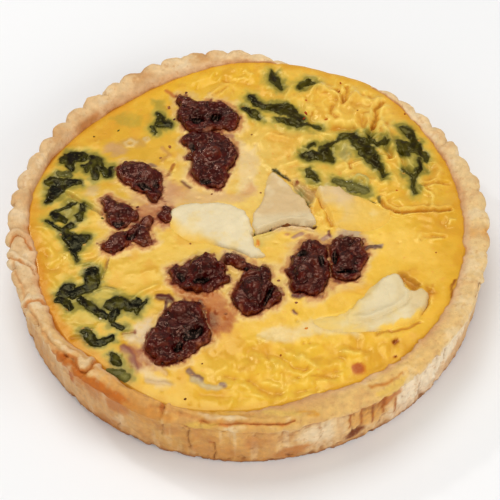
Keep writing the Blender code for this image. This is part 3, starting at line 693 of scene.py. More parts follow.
cheeseSlices = {
    "cheese_slice_1": {
        "rise": 1.3, "edge": 2.0, "tilt": (0.9, 0.2, 0.5),
        "outline": ((-34.5, 8), (-31, 12), (-22.5, 13.5), (-10, 12.8), (-4, 10.5), (0.5, 6), (2, 0.5),
                    (2.5, -6), (3, -11), (5.5, -14), (7.5, -17), (6, -18.8), (1, -17.5), (-4.5, -14),
                    (-10, -12), (-17, -9.5), (-24, -9), (-31, -4), (-34.5, 2)),
        "melt": ((-27, -9, 10), (-35, -2, 8), (-19, -11, 6)),
        "plain": (231, 213, 172), "coated": (240, 200, 112), "merged": 0.95,
    },
    "cheese_slice_2": {
        "rise": 1.5, "edge": 0.9, "tilt": (0.45, -0.9, 1.3),
        "outline": ((12.3, 29.5), (15, 26.5), (18.5, 22), (23.6, 13.9), (28.1, 6.1), (30, 1.9), (29.4, -1),
                    (23.9, -0.8), (19.7, 0.6), (14.3, 0), (8.8, -2.8), (3.2, -4.6), (2.6, -1.7), (2.2, 4.5),
                    (3.4, 7.2), (5.4, 10.5), (7.8, 16), (8.6, 23), (10.4, 27.5)),
        "melt": ((6, 26, 6), (1, 12, 5)),
        # this slice's plain and coated colours are painted darker for the shade on its face, which tilts away
        # from the light
        "plain": (216, 184, 134), "coated": (226, 196, 142), "merged": 0.3,
    },
    "cheese_slice_3": {
        "rise": 1.6, "edge": 1.1, "tilt": (-1.0, 0.4, 1.2),
        "outline": ((30.3, 17.2), (32.6, 18.6), (36, 18), (40.3, 19.2), (45.5, 15.5), (53.4, 11), (60.2, 7.6),
                    (64, 3.5), (60, -3), (52, -6.5), (44, -5.6), (37.8, -3), (34, 6.3)),
        "melt": ((60, 0, 22), (50, -8, 17), (38, 4, 7)),
        "plain": (224, 192, 138), "coated": (238, 194, 92), "merged": 0.95,
    },
    "cheese_slice_4": {
        "rise": 1.5, "edge": 1.8, "tilt": (0.8, 0.3, 0.7),
        "outline": ((59, -28.2), (62.8, -28), (65, -32), (66.8, -36.5), (69, -37.4), (71.9, -36.2),
                    (74.5, -38.5), (74, -43.5), (71.2, -48), (70.5, -51), (65, -54.5), (56, -57), (49, -57.6),
                    (42, -57.8), (34, -57), (27, -54), (24, -50.5), (30, -48.8), (36.5, -47.8), (42, -44.5),
                    (48, -38.5), (53, -33)),
        "melt": ((26, -52, 16), (36, -46, 11), (46, -34, 8), (42, -58, 7), (58, -58, 5)),
        "plain": (229, 208, 160), "coated": (236, 204, 124), "merged": 0.35,
    },
}


def meltShare(x, y, look):
    share = np.zeros(x.shape)
    for mx, my, radius in look["melt"]:
        share = np.maximum(share, step(1.25, 0.35, np.hypot(x - mx, y - my) / radius))
    return share


# folds in the skin, in mm: height (grooves negative), half width, points

skinFolds = (
    (-1.4, 1.1, ((44, 77.5), (45.5, 74.5), (46.5, 71), (46, 69))),
    (-1.4, 1.1, ((48.5, 78.5), (47.5, 74.5), (46.5, 71))),
    (-1.9, 1.1, ((64, 69), (61.5, 65.5), (60, 62.5), (60, 58), (59, 54))),
    (-1.3, 1.4, ((54, 62), (53, 57.5), (54, 54.5))),
    (-1.6, 1.8, ((41, 55.5), (44.5, 54.5), (49, 54))),
    (-2.2, 1.0, ((59, 54), (57, 50.5), (56, 47.5))),
    (-1.5, 1.5, ((31, 63.5), (31.5, 59))),
    (-1.4, 1.4, ((41, 66.5), (40.5, 62.5), (42, 60.5))),
    (-1.0, 0.7, ((46.5, 30), (46.5, 33), (48, 34.5), (51.5, 35.5))),
    (-2.2, 1.0, ((63.5, 45), (63.5, 41.5), (64.5, 38.5), (64.5, 35.5))),
    (-1.8, 1.0, ((69, 38), (69.5, 34), (71, 29.5), (73, 26.5))),
    (-1.1, 1.6, ((80.5, 31), (81, 27), (81.5, 22))),
    (-1.5, 1.2, ((61.5, 28.5), (61.5, 25.5), (60.5, 22.5))),
    (1.2, 1.7, ((27.5, 75.5), (28, 71.5), (29, 66), (30, 63.5))),
    (1.4, 2.1, ((34, 79), (36, 80), (37.5, 77), (41, 76))),
    (1.2, 2.1, ((39, 78), (42, 75.5), (44, 71.5), (44.5, 68.5))),
    (1.8, 2.1, ((43, 63.5), (44.5, 67), (46.5, 69), (48.5, 71), (51.5, 74))),
    (1.6, 2.5, ((53, 63.5), (55, 59), (56, 55.5))),
    (1.4, 1.8, ((58, 69.5), (61, 70), (64, 70))),
    (1.1, 2.3, ((52.5, 73), (53, 71.5))),
    (1.1, 2.1, ((65, 64.5), (67.5, 63.5))),
    (2.0, 2.0, ((63, 54.5), (63.5, 51), (64, 45), (64.5, 40.5))),
    (1.3, 3.0, ((66, 54), (68.5, 46.5), (67.5, 40.5))),
    (1.8, 2.2, ((60, 49.5), (62, 47.5), (62.5, 45))),
    (1.4, 1.4, ((58.5, 35.5), (61.5, 35.5), (64.5, 35.5))),
    (1.2, 1.5, ((47, 25), (49.5, 26), (51.5, 24.5), (52.5, 22))),
    (1.1, 1.7, ((57, 21.5), (59, 22.5), (61, 22))),
    (1.0, 1.3, ((27.5, 54), (30, 54.5), (32, 53), (39, 48.5))),
    (0.8, 2.1, ((20.5, 42), (24, 46), (27.5, 48))),
    (1.0, 2.5, ((69, 34.5), (72, 33), (75.5, 30))),
    (1.5, 1.3, ((77, 17.5), (78, 15), (80, 13.5), (81, 11.5), (80.5, 6))),
    (-1.0, 0.7, ((77.5, 18.5), (82, 19.5), (85.5, 19.5), (89.5, 19.5))),
    (-1.9, 0.8, ((64.5, 5.5), (68.5, 5), (72.5, 5), (76.5, 5), (79.5, 4), (83, 4.5), (88, 5.5))),
    (-1.5, 0.8, ((58.5, 12), (60.5, 8.5), (64.5, 5.5))),
    (1.0, 1.4, ((79, 3), (82, 1))),
    (1.0, 1.0, ((86.5, -3.5), (88, -1), (90, -1))),
    (-0.7, 0.7, ((74, -10.5), (75.5, -9), (81, -9), (84, -9.5))),
    (0.8, 1.1, ((73, -10.5), (74.5, -9.5))),
    (0.7, 1.1, ((80, -11.5), (82.5, -11))),
    (-0.8, 2.0, ((83, -0.5), (85, -4.5))),
    (0.8, 2.1, ((85, 35.5), (85.5, 29.5), (86.5, 23))),
    (-0.8, 2.0, ((1, -63), (7, -65), (11.5, -67), (15, -70), (18, -72.5), (23.5, -74.5), (33, -75))),
    (-0.8, 1.7, ((18, -79), (22, -77.5), (27.5, -77), (33.5, -77.5))),
    (-0.8, 1.8, ((-11, -77), (-5, -77), (0, -78.5), (2.5, -82.5), (6.5, -84), (10.5, -85))),
    (-0.5, 1.8, ((-21, -84.5), (-15, -85), (-9.5, -85.5))),
    (-0.6, 1.7, ((17.5, -85.5), (21.5, -84), (24.5, -83))),
    (-0.5, 1.7, ((-1.5, -65.5), (-0.5, -68.5))),
    (-0.6, 1.5, ((42.5, -60), (42.5, -64), (46.5, -66))),
    (-0.4, 1.5, ((31, -71), (33, -69.5), (36, -69))),
    (1.0, 1.7, ((21, -69), (23.5, -71.5), (27.5, -74.5), (31, -75))),
    (0.8, 1.8, ((15.5, -67.5), (18.5, -68.5), (20.5, -68))),
    (0.7, 1.8, ((25, -64.5), (26.5, -64))),
    (1.0, 1.5, ((38, -66), (41, -68), (44, -67.5), (45, -65))),
    (0.8, 2.2, ((15.5, -76.5), (19.5, -77.5), (24, -75.5))),
    (1.0, 1.8, ((16.5, -81), (21, -82.5), (23.5, -81))),
    (0.8, 2.5, ((-10, -70.5), (-7.5, -69), (-5.5, -70.5))),
    (0.7, 2.2, ((-3, -73.5), (-2.5, -75))),
    (0.8, 3.1, ((7.5, -71), (9.5, -72.5), (10.5, -76.5))),
    (0.7, 1.3, ((-8.5, -87.5), (-9.5, -90.5))),
    (0.7, 2.8, ((-5.5, -79.5), (-3, -81.5))),
    (0.7, 2.8, ((-1.5, -85.5), (3, -86.5))),
    (0.6, 2.0, ((47, -69), (49.5, -71))),
    (0.8, 3.4, ((-18, -73.5), (-13, -74.5))),
    (0.9, 1.7, ((-81, -14.5), (-80, -12.5), (-78, -13), (-77, -15.5), (-75.5, -18))),
    (0.7, 1.7, ((-85, -24), (-82.5, -27))),
    (0.7, 1.5, ((-75, -19.5), (-70, -18.5), (-65, -16.5), (-62, -13.5))),
    (0.7, 1.7, ((-59.5, -23.5), (-57.5, -21), (-54.5, -19), (-52.5, -18.5))),
    (0.7, 2.0, ((-50, -23), (-47, -24), (-43, -23.5), (-40.5, -23))),
    (0.9, 1.5, ((-51, -38.5), (-48, -35.5), (-42.5, -32.5), (-39.5, -31.5))),
    (0.6, 1.5, ((-70, -13), (-67.5, -12), (-65.5, -9))),
    (-0.7, 0.6, ((-59.5, -15), (-60.5, -18), (-61, -22), (-62.5, -26))),
    (-0.9, 1.6, ((-87.5, -11.5), (-85.5, -18.5), (-82, -19))),
    (0.7, 2.2, ((-74.5, -45.5), (-73.5, -42), (-70.5, -41))),
    (0.5, 2.0, ((-65, -50.5), (-63, -49.5))),
    (-1.0, 0.6, ((-78.5, 21.5), (-73.5, 17), (-70.5, 15), (-63.5, 9))),
    (-0.7, 0.5, ((-31.5, 36), (-33, 33), (-34.5, 29.5))),
    (-0.6, 0.6, ((-13.5, 76.5), (-10.5, 78.5), (-6.5, 81.5))),
    (0.8, 1.0, ((2, 91.5), (4.5, 88))),
    (0.9, 2.5, ((-93, 3.5), (-88, 2), (-83.5, 4.5))),
    (0.6, 2.8, ((-91, -2), (-87, -5))),
    (0.8, 2.1, ((-85, 36), (-84.5, 34.5))),
    (0.6, 2.3, ((-79.5, 49), (-71.5, 50), (-67, 51.5))),
    (-1.6, 0.6, ((2.5, -5.5), (5.5, -5), (9, -3.5), (14.5, -0.5), (20, 0), (24.5, -1), (28.5, -3))),
    (-1.3, 0.9, ((21, 23), (24, 17), (27, 12.5))),
    (-1.2, 0.9, ((30, 18), (33.5, 8), (36.5, -1))),
)


# the custard's skin

custardLook = {"mottleScale": 150.0, "mottle": 0.05, "grainScale": 900.0, "grain": 0.4, "grainDepth": 0.00010,
               "swell": 0.4, "fleckScale": 420.0, "fleck": (0.66, 0.74, 0.5), "fleckColour": (222, 150, 62),
               "rough": (0.18, 0.36), "shineColour": (1.0, 0.86, 0.40), "gloss": 0.4, "soft": 0.06,
               "softRadius": (1.0, 0.55, 0.2)}
# points along a side, how far it runs under the rim, and a smooth baked spot: x, y, radius
custardShape = {"side": 300, "overlap": 1.1, "bakedSpot": (43.3, -75.0, 5.0)}


def skinShape(x, y):  # height of the skin, its relief, the share of the way out, and the azimuth
    radius = np.hypot(x, y)
    azimuth = np.degrees(np.arctan2(y, x)) % 360.0
    edge = edgeRadius(azimuth)
    share = radius / edge
    level = filling["level"] + (edgeHeight(azimuth) - filling["level"]) * np.minimum(share, 1.0) ** 3
    p = flat(x, y)
    wx = x + 0.9 * softNoise(p, 6.0, 5) + 0.4 * softNoise(p, 2.4, 7)
    wy = y + 0.9 * softNoise(p, 6.0, 6) + 0.4 * softNoise(p, 2.4, 8)
    folds = np.zeros(x.shape)
    uneven = 0.75 + 0.6 * layeredNoise(p, 5.0, 2, 9)
    for height, width, points in skinFolds:
        near = nearOutline(x, y, points, 3.5 * width + 1.5)
        if not near.any():
            continue
        distance = lineDistance(wx[near], wy[near], points) / width
        if height > 0:
            folds[near] += 1.15 * height * uneven[near] * np.exp(-np.minimum(distance, 9.0) ** 1.6)
        else:
            folds[near] += height * (np.exp(-distance ** 1.5) - 0.3 * np.exp(-((distance - 2.1) / 0.9) ** 2))
    creased = step(12.0, 45.0, x + 0.6 * y) * step(-14.0, 10.0, y)  # how wrinkled each part of the skin is
    front = step(-56.0, -68.0, y) * step(-30.0, -8.0, x)
    side = step(-58.0, -72.0, x)
    top = step(60.0, 74.0, y)
    warped = flat(x + 3.0 * softNoise(p, 9.0, 21), y + 3.0 * softNoise(p, 9.0, 22))
    crests = ridgeNoise(warped, 9.0, 2, 31) + 0.3 * ridgeNoise(warped, 4.4, 2, 37)
    lumps = -1.3 * ridgeNoise(warped, 11.0, 2, 35) - 0.35 * ridgeNoise(warped, 4.2, 2, 39)
    relief = crests * (0.04 + 0.62 * creased + 0.12 * front + 0.16 * side + 0.08 * top)
    relief = relief + lumps * (0.03 + 0.10 * creased + 0.46 * front + 0.22 * side + 0.10 * top)
    relief = relief + 0.28 * softNoise(p, 24.0, 41) + 0.08 * layeredNoise(p, 4.0, 2, 42)
    fade = 1.0 - 0.75 * step(0.94, 1.0, share)
    spotX, spotY, spotSize = custardShape["bakedSpot"]
    fade = fade * (1.0 - 0.9 * np.exp(-(np.hypot(x - spotX, y - spotY) / spotSize) ** 4))
    drop = 0.7 * step(-0.6, 1.2, radius - edge)
    return level + (folds + relief) * fade - drop, folds + relief, share, azimuth


custardColours = {
    # what the skin's colour is around each place, with the light and shade that fall there painted in: x, y,
    # colour
    "regions": ((58, -8, (247, 198, 74)), (70, -55, (238, 184, 60)), (10, -78, (240, 190, 62)),
                (-32, -78, (232, 178, 58)), (-62, -62, (226, 166, 42)), (-84, -12, (226, 176, 58)),
                (-70, 24, (226, 178, 64)), (-60, 58, (228, 174, 56)), (-15, 82, (236, 182, 52)),
                (30, 72, (236, 184, 66)), (58, 52, (238, 190, 80)), (36, 38, (232, 190, 82)),
                (84, 20, (222, 166, 46)), (84, -20, (226, 170, 50)), (-50, -20, (232, 188, 78)),
                (-20, -52, (232, 182, 66)),
                (0, 30, (234, 196, 106)), (30, -5, (238, 192, 80))),
    # the paler yellow is painted highlight on raised and convex skin, and random tone too; the two oranges
    # after it are painted shade in hollow and low skin, the second one random tone too
    "paleAndHighlight": (250, 214, 108),
    "grooveShade": (206, 138, 44),
    "deep": (222, 158, 52),
    "edge": (222, 158, 44),
    "leftEdge": (212, 134, 34),
    "contact": (168, 92, 34),
    "oliveLight": (196, 172, 72),
    "olive": (146, 132, 54),
    "oliveDark": (74, 69, 30),
    "fringe": (200, 136, 80),
    "fringeDark": (124, 64, 42),
    "halo": (234, 198, 140),
    "under": (226, 176, 80),
}

# stained places in the skin: outline in mm, colour, strength
skinPatches = (
    (((-63, 49), (-59, 51), (-54, 48), (-54, 43), (-58, 42), (-63, 44)), (206, 160, 108), 0.85),
    (((-71, 26), (-67, 27), (-65, 22), (-67, 18), (-71, 18.5)), (212, 178, 120), 0.85),
    (((-1, 22), (3, 22), (4, 19), (0, 18.5)), (228, 196, 150), 0.8),
    (((31, 16), (36, 21.5), (39, 19.5), (36, 17)), (238, 220, 180), 0.7),
    (((-2, 46.5), (1.5, 42), (5, 44.5), (5.5, 36), (3, 17.5), (-3.5, 17.5)), (236, 204, 146), 0.85),
    (((-37.5, 29), (-31, 24), (-25, 20), (-12, 18), (3, 16), (-4, 13), (-24, 14), (-37, 12)), (222, 178, 122),
     0.85),
    (((-33, 26), (-27, 22), (-28, 17), (-34, 18)), (196, 130, 84), 0.5),
    (((-19.5, -44.5), (-16, -41), (-10.5, -41), (-6.5, -44.5), (-6, -50.5), (-9.5, -55), (-17, -56)),
     (172, 88, 38), 0.95),
    (((-19, -46), (-15.5, -44), (-14, -51), (-17, -54)), (112, 52, 34), 0.8),
    (((-33, -29), (-27.5, -34), (-18, -36.5), (-13, -36), (-16, -38.5), (-24, -38)), (152, 82, 46), 0.75),
    (((-33, -28), (-27, -35), (-12, -36), (-9, -40), (-14, -42), (-24, -39), (-31, -35)), (190, 112, 60),
     0.9),
    (((-53.5, -61.5), (-50.5, -60.5), (-41, -66), (-36, -71), (-44, -71), (-48, -76.5), (-50.5, -72)),
     (168, 102, 72), 0.9),
    (((-47.5, -50.5), (-44, -48), (-41, -47), (-41.5, -53.5), (-44, -60.5), (-50.5, -59), (-52.5, -55.5)),
     (226, 198, 160), 0.9),
    (((-46.5, -71.5), (-42.5, -70.5), (-37.5, -75.5), (-32, -80), (-37, -82.5), (-42, -78.5)),
     (228, 196, 146), 0.9),
    (((25.5, -49.5), (17.5, -53.5), (9.5, -53), (3.5, -57), (6.5, -60), (17, -61), (25.5, -57.5), (37.5, -57),
      (45, -59), (45, -54), (30, -50)), (235, 206, 148), 0.85),
    (((39, 45), (45, 48.5), (50, 47), (51, 42), (48, 37), (42, 36), (36, 40)), (158, 146, 82), 0.9),
    (((50, 38), (55, 33), (60, 30), (58, 38), (54, 44)), (150, 138, 72), 0.7),
    (((71, 36), (76.5, 37.5), (77.5, 31), (75.5, 25.5), (72.5, 28)), (176, 160, 88), 0.85),
    (((-82, 11), (-76, 14), (-72, 13), (-73, 8), (-78, 5), (-82, 8)), (190, 176, 100), 0.8),
    (((-79, -42), (-72, -38), (-66, -42), (-64, -50), (-70, -53), (-77, -49)), (202, 178, 88), 0.6),
    (((-68, -33), (-62, -30), (-55, -31), (-54, -37), (-60, -42), (-66, -37)), (198, 178, 92), 0.7),
    (((-43, 76), (-38, 74), (-36, 67), (-40, 66)), (150, 140, 60), 0.6),
    (((-62, 66), (-54, 68), (-46, 66), (-48, 62), (-56, 62)), (180, 158, 62), 0.6),
    (((8, 60), (16, 62), (28, 56), (34, 52), (24, 50), (12, 54)), (206, 180, 90), 0.45),
    (((24, 41), (33, 44), (40, 40), (40, 33), (30, 33), (24, 36)), (178, 160, 84), 0.7),
    (((37, 25), (44, 24), (53, 19), (52, 15), (45, 16), (38, 20)), (198, 176, 104), 0.6),
    (((-48, -2), (-53, 4), (-47, 12), (-40, 15), (-33, 11), (-31, 3), (-36, 0), (-40, 4), (-43, -1)),
     (178, 108, 70), 0.85),
    (((-50, 20), (-46, 17), (-41, 14), (-36, 16), (-34, 24), (-31, 22), (-33, 13), (-42, 11), (-50, 15)),
     (206, 154, 108), 0.7),
    (((63.3, -27.5), (67.4, -28.2), (71.8, -35.1), (68.9, -37.6), (65.6, -33.6)), (194, 130, 46), 0.95),
    (((75.2, -36), (77, -36.4), (77, -38.2), (75.6, -38)), (196, 122, 40), 0.9),
    (((20.2, 23.7), (25, 21.6), (30.4, 18.4), (28.6, 13), (27, 8.6), (24.5, 11), (22, 17)), (206, 172, 112),
     0.9),
    (((26, 20.2), (30, 18), (28.4, 12.8), (26.8, 13.6)), (206, 158, 92), 0.8),
    (((23, 18), (26.4, 16.4), (26.6, 9.4), (24, 12.5)), (138, 134, 70), 0.85),
    (((1.5, -5), (9, -2.5), (14, -2), (8, -9), (3.5, -14)), (214, 186, 104), 0.7),
    (((9.5, -3.2), (14, -1.8), (19.6, -0.9), (24, -2.4), (28, -4.4), (24, -4), (18, -3.4), (13, -4.2)),
     (214, 178, 132), 0.85),
    (((37, -9.5), (42, -3.6), (48, -3.4), (49.5, -8.3), (46.6, -9.5), (41.7, -9)), (196, 172, 142), 0.8),
    (((-2, 17.6), (2, 23), (3.8, 18)), (204, 142, 82), 0.7),
    (((-11, -13), (-2, -14), (-3, -19), (-8, -16.5)), (206, 178, 140), 0.6),
    (((-56, 50), (-50, 53), (-45, 51), (-46, 47), (-52, 46)), (196, 150, 84), 0.6),
    (((-90, 22), (-84, 17), (-78, 20), (-80, 27), (-88, 30)), (190, 170, 82), 0.6),
    (((56, -8), (66, -4), (78, -10), (80, -24), (66, -22), (56, -18)), (250, 204, 96), 0.5),
)

# places where the skin is sunk: outline, depth in mm
skinHollows = (
    (((63.3, -27.5), (67.4, -28.2), (71.8, -35.1), (68.9, -37.6), (65.6, -33.6)), 1.8),
    (((75.2, -36), (77, -36.4), (77, -38.2), (75.6, -38)), 1.2),
    (((20.2, 23.7), (25, 21.6), (30.4, 18.4), (28.6, 13), (27, 8.6), (24.5, 11), (22, 17)), 1.0),
    (((1.5, -4.5), (9, -2), (19, 0.5), (28, -1.5), (24, -2.8), (14, -2), (6, -4.5)), 0.8),
)

# marks and slits: points, half width, colour, strength, depth (negative stands up)
skinMarks = (
    (((43.3, -75), (43.4, -75)), 3.7, (206, 118, 30), 0.95, -0.1),
    (((43, -74.8), (43.3, -75.6)), 2.6, (176, 78, 16), 0.85, 0.0),
    (((2, -4.9), (5.5, -3.8), (8.5, -2.6)), 0.5, (104, 96, 40), 0.9, 0.5),
    # these three dark lines run along the lifted front edge of the second slice: painted shade in the slit
    # under it
    (((8.8, -2.3), (9.8, -2.2)), 0.7, (48, 36, 16), 0.95, 0.6),
    (((10.5, -0.9), (14.3, 0), (19.7, 0.6), (24, -0.8), (28.5, -2)), 0.4, (120, 66, 36), 0.9, 0.5),
    (((28.3, -3), (28.9, -2)), 0.5, (104, 66, 34), 0.8, 0.4),
    (((11, -2.4), (16, -1.2), (19.6, -1), (24, -2.3), (27.6, -3.8)), 0.6, (222, 186, 150), 0.7, -0.5),
    (((12.9, 30.4), (15.2, 28.4), (17.3, 26)), 0.7, (62, 56, 26), 0.9, 0.4),
    (((17.3, 26), (18.9, 24)), 0.5, (76, 58, 26), 0.9, 0.5),
    (((22.6, 22.8), (22.9, 22.5)), 0.6, (140, 72, 40), 0.9, 0.2),
    (((25.6, 12), (26.6, 9)), 0.8, (58, 50, 20), 0.95, 0.7),
    (((4.2, -8.7), (4, -10.8)), 0.7, (222, 130, 46), 0.9, -0.4),
    (((16.5, -6), (17.5, -5.9)), 0.8, (196, 130, 86), 0.8, -0.2),
    (((20.3, -7.6), (21, -6.7), (22.8, -6)), 1.1, (168, 122, 108), 0.8, -0.3),
    (((32, -9.2), (34.9, -7.5)), 1.2, (176, 132, 118), 0.8, -0.2),
    (((34.9, -7.8), (35.4, -4.6)), 0.5, (112, 60, 50), 0.9, -0.3),
    (((50.6, -14.7), (52.5, -14.2), (54.5, -14.4)), 1.1, (86, 50, 48), 0.95, -0.7),
    (((54.3, -14.2), (57.4, -13.7)), 0.9, (168, 142, 128), 0.8, -0.2),
    (((45.6, 13.4), (47.6, 10.6)), 0.7, (208, 176, 134), 0.7, -0.3),
    (((53.4, 11.6), (55.8, 10.8)), 0.5, (92, 80, 34), 0.9, 0.5),
    (((57.6, 13), (58.2, 11.2)), 0.7, (96, 84, 40), 0.85, 0.5),
    (((35.4, 19.6), (36.6, 18.6)), 1.3, (240, 226, 190), 0.9, -0.7),
    (((37.6, 17.9), (38.6, 16.9)), 0.9, (168, 160, 92), 0.8, -0.2),
    (((47, 22.2), (49, 24.4), (52, 24.3), (54, 21.4), (53.6, 18.4)), 0.8, (188, 176, 104), 0.8, -0.5),
    (((50, 22.2), (50.9, 21.8)), 0.6, (120, 108, 52), 0.8, 0.3),
    (((-25.5, -73.5), (-23, -75.8), (-20.8, -77.6)), 1.2, (128, 92, 84), 0.85, -0.5),
    (((-23.5, -77.5), (-19.5, -80), (-14, -81.5), (-11, -80.5)), 1.3, (196, 176, 140), 0.75, -0.4),
    (((-12.2, -80), (-10.8, -81)), 0.7, (150, 116, 104), 0.8, -0.3),
    (((-42.5, 36.5), (-40.5, 35.6)), 0.9, (140, 106, 84), 0.8, -0.1),
    (((-53, -61), (-49, -66), (-47, -71.5)), 1.6, (140, 84, 72), 0.8, -0.4),
    (((-44.5, -66), (-39, -70.5), (-35, -74.5)), 1.1, (206, 160, 120), 0.6, -0.4),
    (((-42.5, -77.5), (-38, -79), (-33.5, -79.8)), 0.6, (196, 160, 116), 0.6, -0.4),
    (((18.3, -46.2), (19, -47.2)), 0.8, (120, 70, 62), 0.9, -0.3),
    (((18.2, -38), (20.4, -38.6), (22.6, -38.4)), 1.0, (104, 62, 56), 0.9, -0.6),
    (((-12.8, 52.4), (-9, 50.8), (-6, 50.6)), 1.6, (176, 124, 92), 0.8, -0.5),
    (((-37.5, -36.4), (-34.5, -36.8), (-33.5, -38.5)), 2.0, (92, 46, 36), 0.95, -0.9),
    (((-35, -39), (-35.2, -44.5)), 0.6, (100, 52, 40), 0.95, -0.3),
    (((58, -62.7), (59.7, -61.3)), 0.6, (150, 70, 26), 0.9, 0.5),
    (((58.4, -69.6), (58.6, -69.7)), 0.6, (190, 100, 30), 0.8, 0.2),
    (((52, -57.9), (54.1, -57.6), (56.8, -56.8), (60.3, -57), (64.5, -56), (66.8, -54.2), (70, -52.6)),
     0.35, (196, 128, 44), 0.8, 0.5),
    (((75, -38.5), (73.9, -43.5), (70.8, -48.9)), 0.5, (190, 124, 44), 0.85, 0.6),
    (((-53, 50), (-51, 52), (-48.5, 50.5), (-49.5, 47.8), (-52.4, 47.8), (-53.2, 50)), 0.5, (226, 196, 140),
     0.7, -0.3),
    (((-45.5, 52), (-44, 52.4), (-43.2, 51), (-44.6, 50), (-45.6, 51.4)), 0.4, (220, 190, 140), 0.7, -0.3),
    (((-35, 81.5), (-33, 79), (-31.5, 77)), 0.8, (190, 110, 50), 0.8, 0.0),
    (((-52.5, -54), (-50, -53.5), (-47.5, -53.5)), 0.5, (120, 50, 30), 0.9, 0.5),
    (((-74, -55.5), (-71, -54.5)), 0.5, (104, 44, 26), 0.9, 0.5),
    (((87, -32.5), (85, -37), (84, -41)), 0.5, (108, 44, 24), 0.85, 0.3),
    (((73.5, -43), (70.5, -48.5), (64, -52), (58, -54.5)), 0.5, (196, 132, 62), 0.8, 0.7),
    (((-67.5, -36), (-64.5, -32), (-60, -30), (-56, -32)), 0.5, (132, 110, 50), 0.8, -0.4),
    # these three follow grooves in the skin: painted shade in them
    (((-78.5, 21.5), (-73.5, 17), (-70.5, 15), (-63.5, 9)), 0.5, (168, 122, 48), 0.7, 0.2),
    (((-59.5, -15), (-60.5, -18), (-61, -22), (-62.5, -26)), 0.45, (150, 104, 50), 0.7, 0.2),
    (((-31.5, 36), (-33, 33), (-34.5, 29.5)), 0.5, (160, 96, 50), 0.7, 0.2),
    (((-28, 26), (-25, 22)), 0.6, (110, 62, 40), 0.8, 0.4),
    (((52, -14.5), (54.5, -14), (57, -14.5)), 0.6, (110, 84, 62), 0.8, -0.4),
    (((-37, 46), (-34, 41), (-37, 38)), 0.9, (190, 132, 70), 0.6, -0.5),
)


def rimOfTopping(x, y):  # mm inside the nearest pudding chunk, and mm outside the nearest leaf
    pudding = np.full(x.shape, -9.0)
    for seed, look in enumerate(puddingChunks.values()):
        near = nearOutline(x, y, look["outline"], 6.0)
        pudding[near] = np.maximum(pudding[near], puddingField(x[near], y[near], look, 400 + 10 * seed)[0])
    leaf = np.full(x.shape, 9.0)
    for seed, strokes in enumerate(spinachLeaves.values()):
        corners = [point for points, _ in strokes for point in points]
        near = nearOutline(x, y, corners, 8.0)
        leaf[near] = np.minimum(leaf[near], leafDistance(x[near], y[near], strokes, 800 + 10 * seed))
    return pudding, leaf


def underToppings(x, y, pudding, leaf):  # how far the skin sinks below or swells beside what lies on it
    sink = 3.4 * step(0.3, 2.2, pudding) - 0.15 * np.exp(-((pudding + 0.8) / 0.9) ** 2)
    sink = sink + 0.5 * step(-0.3, -1.6, leaf)
    for look in cheeseSlices.values():
        near = nearOutline(x, y, look["outline"], 4.0)
        inner = insideDistance(x[near], y[near], roundCorners(look["outline"]))
        sink[near] += 1.6 * step(0.4, 2.5, inner)
    return sink


def skinMarkings(x, y):  # warped coordinates that keep the stains ragged
    p = flat(x, y)
    wx = x + 1.8 * layeredNoise(p, 5.0, 3, 75) + 0.4 * softNoise(p, 1.4, 77)
    wy = y + 1.8 * layeredNoise(p, 5.0, 3, 76) + 0.4 * softNoise(p, 1.4, 78)
    return wx, wy


# how far each point lies below the mean of those around it, on a square grid
def cavityOf(height, side, reach):
    grid = height.reshape(side, side)
    for _ in range(reach):
        wide = np.pad(grid, 1, mode="edge")
        grid = (wide[:-2, 1:-1] + wide[2:, 1:-1] + wide[1:-1, :-2] + wide[1:-1, 2:] + 2.0 * grid) / 6.0
    return grid.ravel() - height


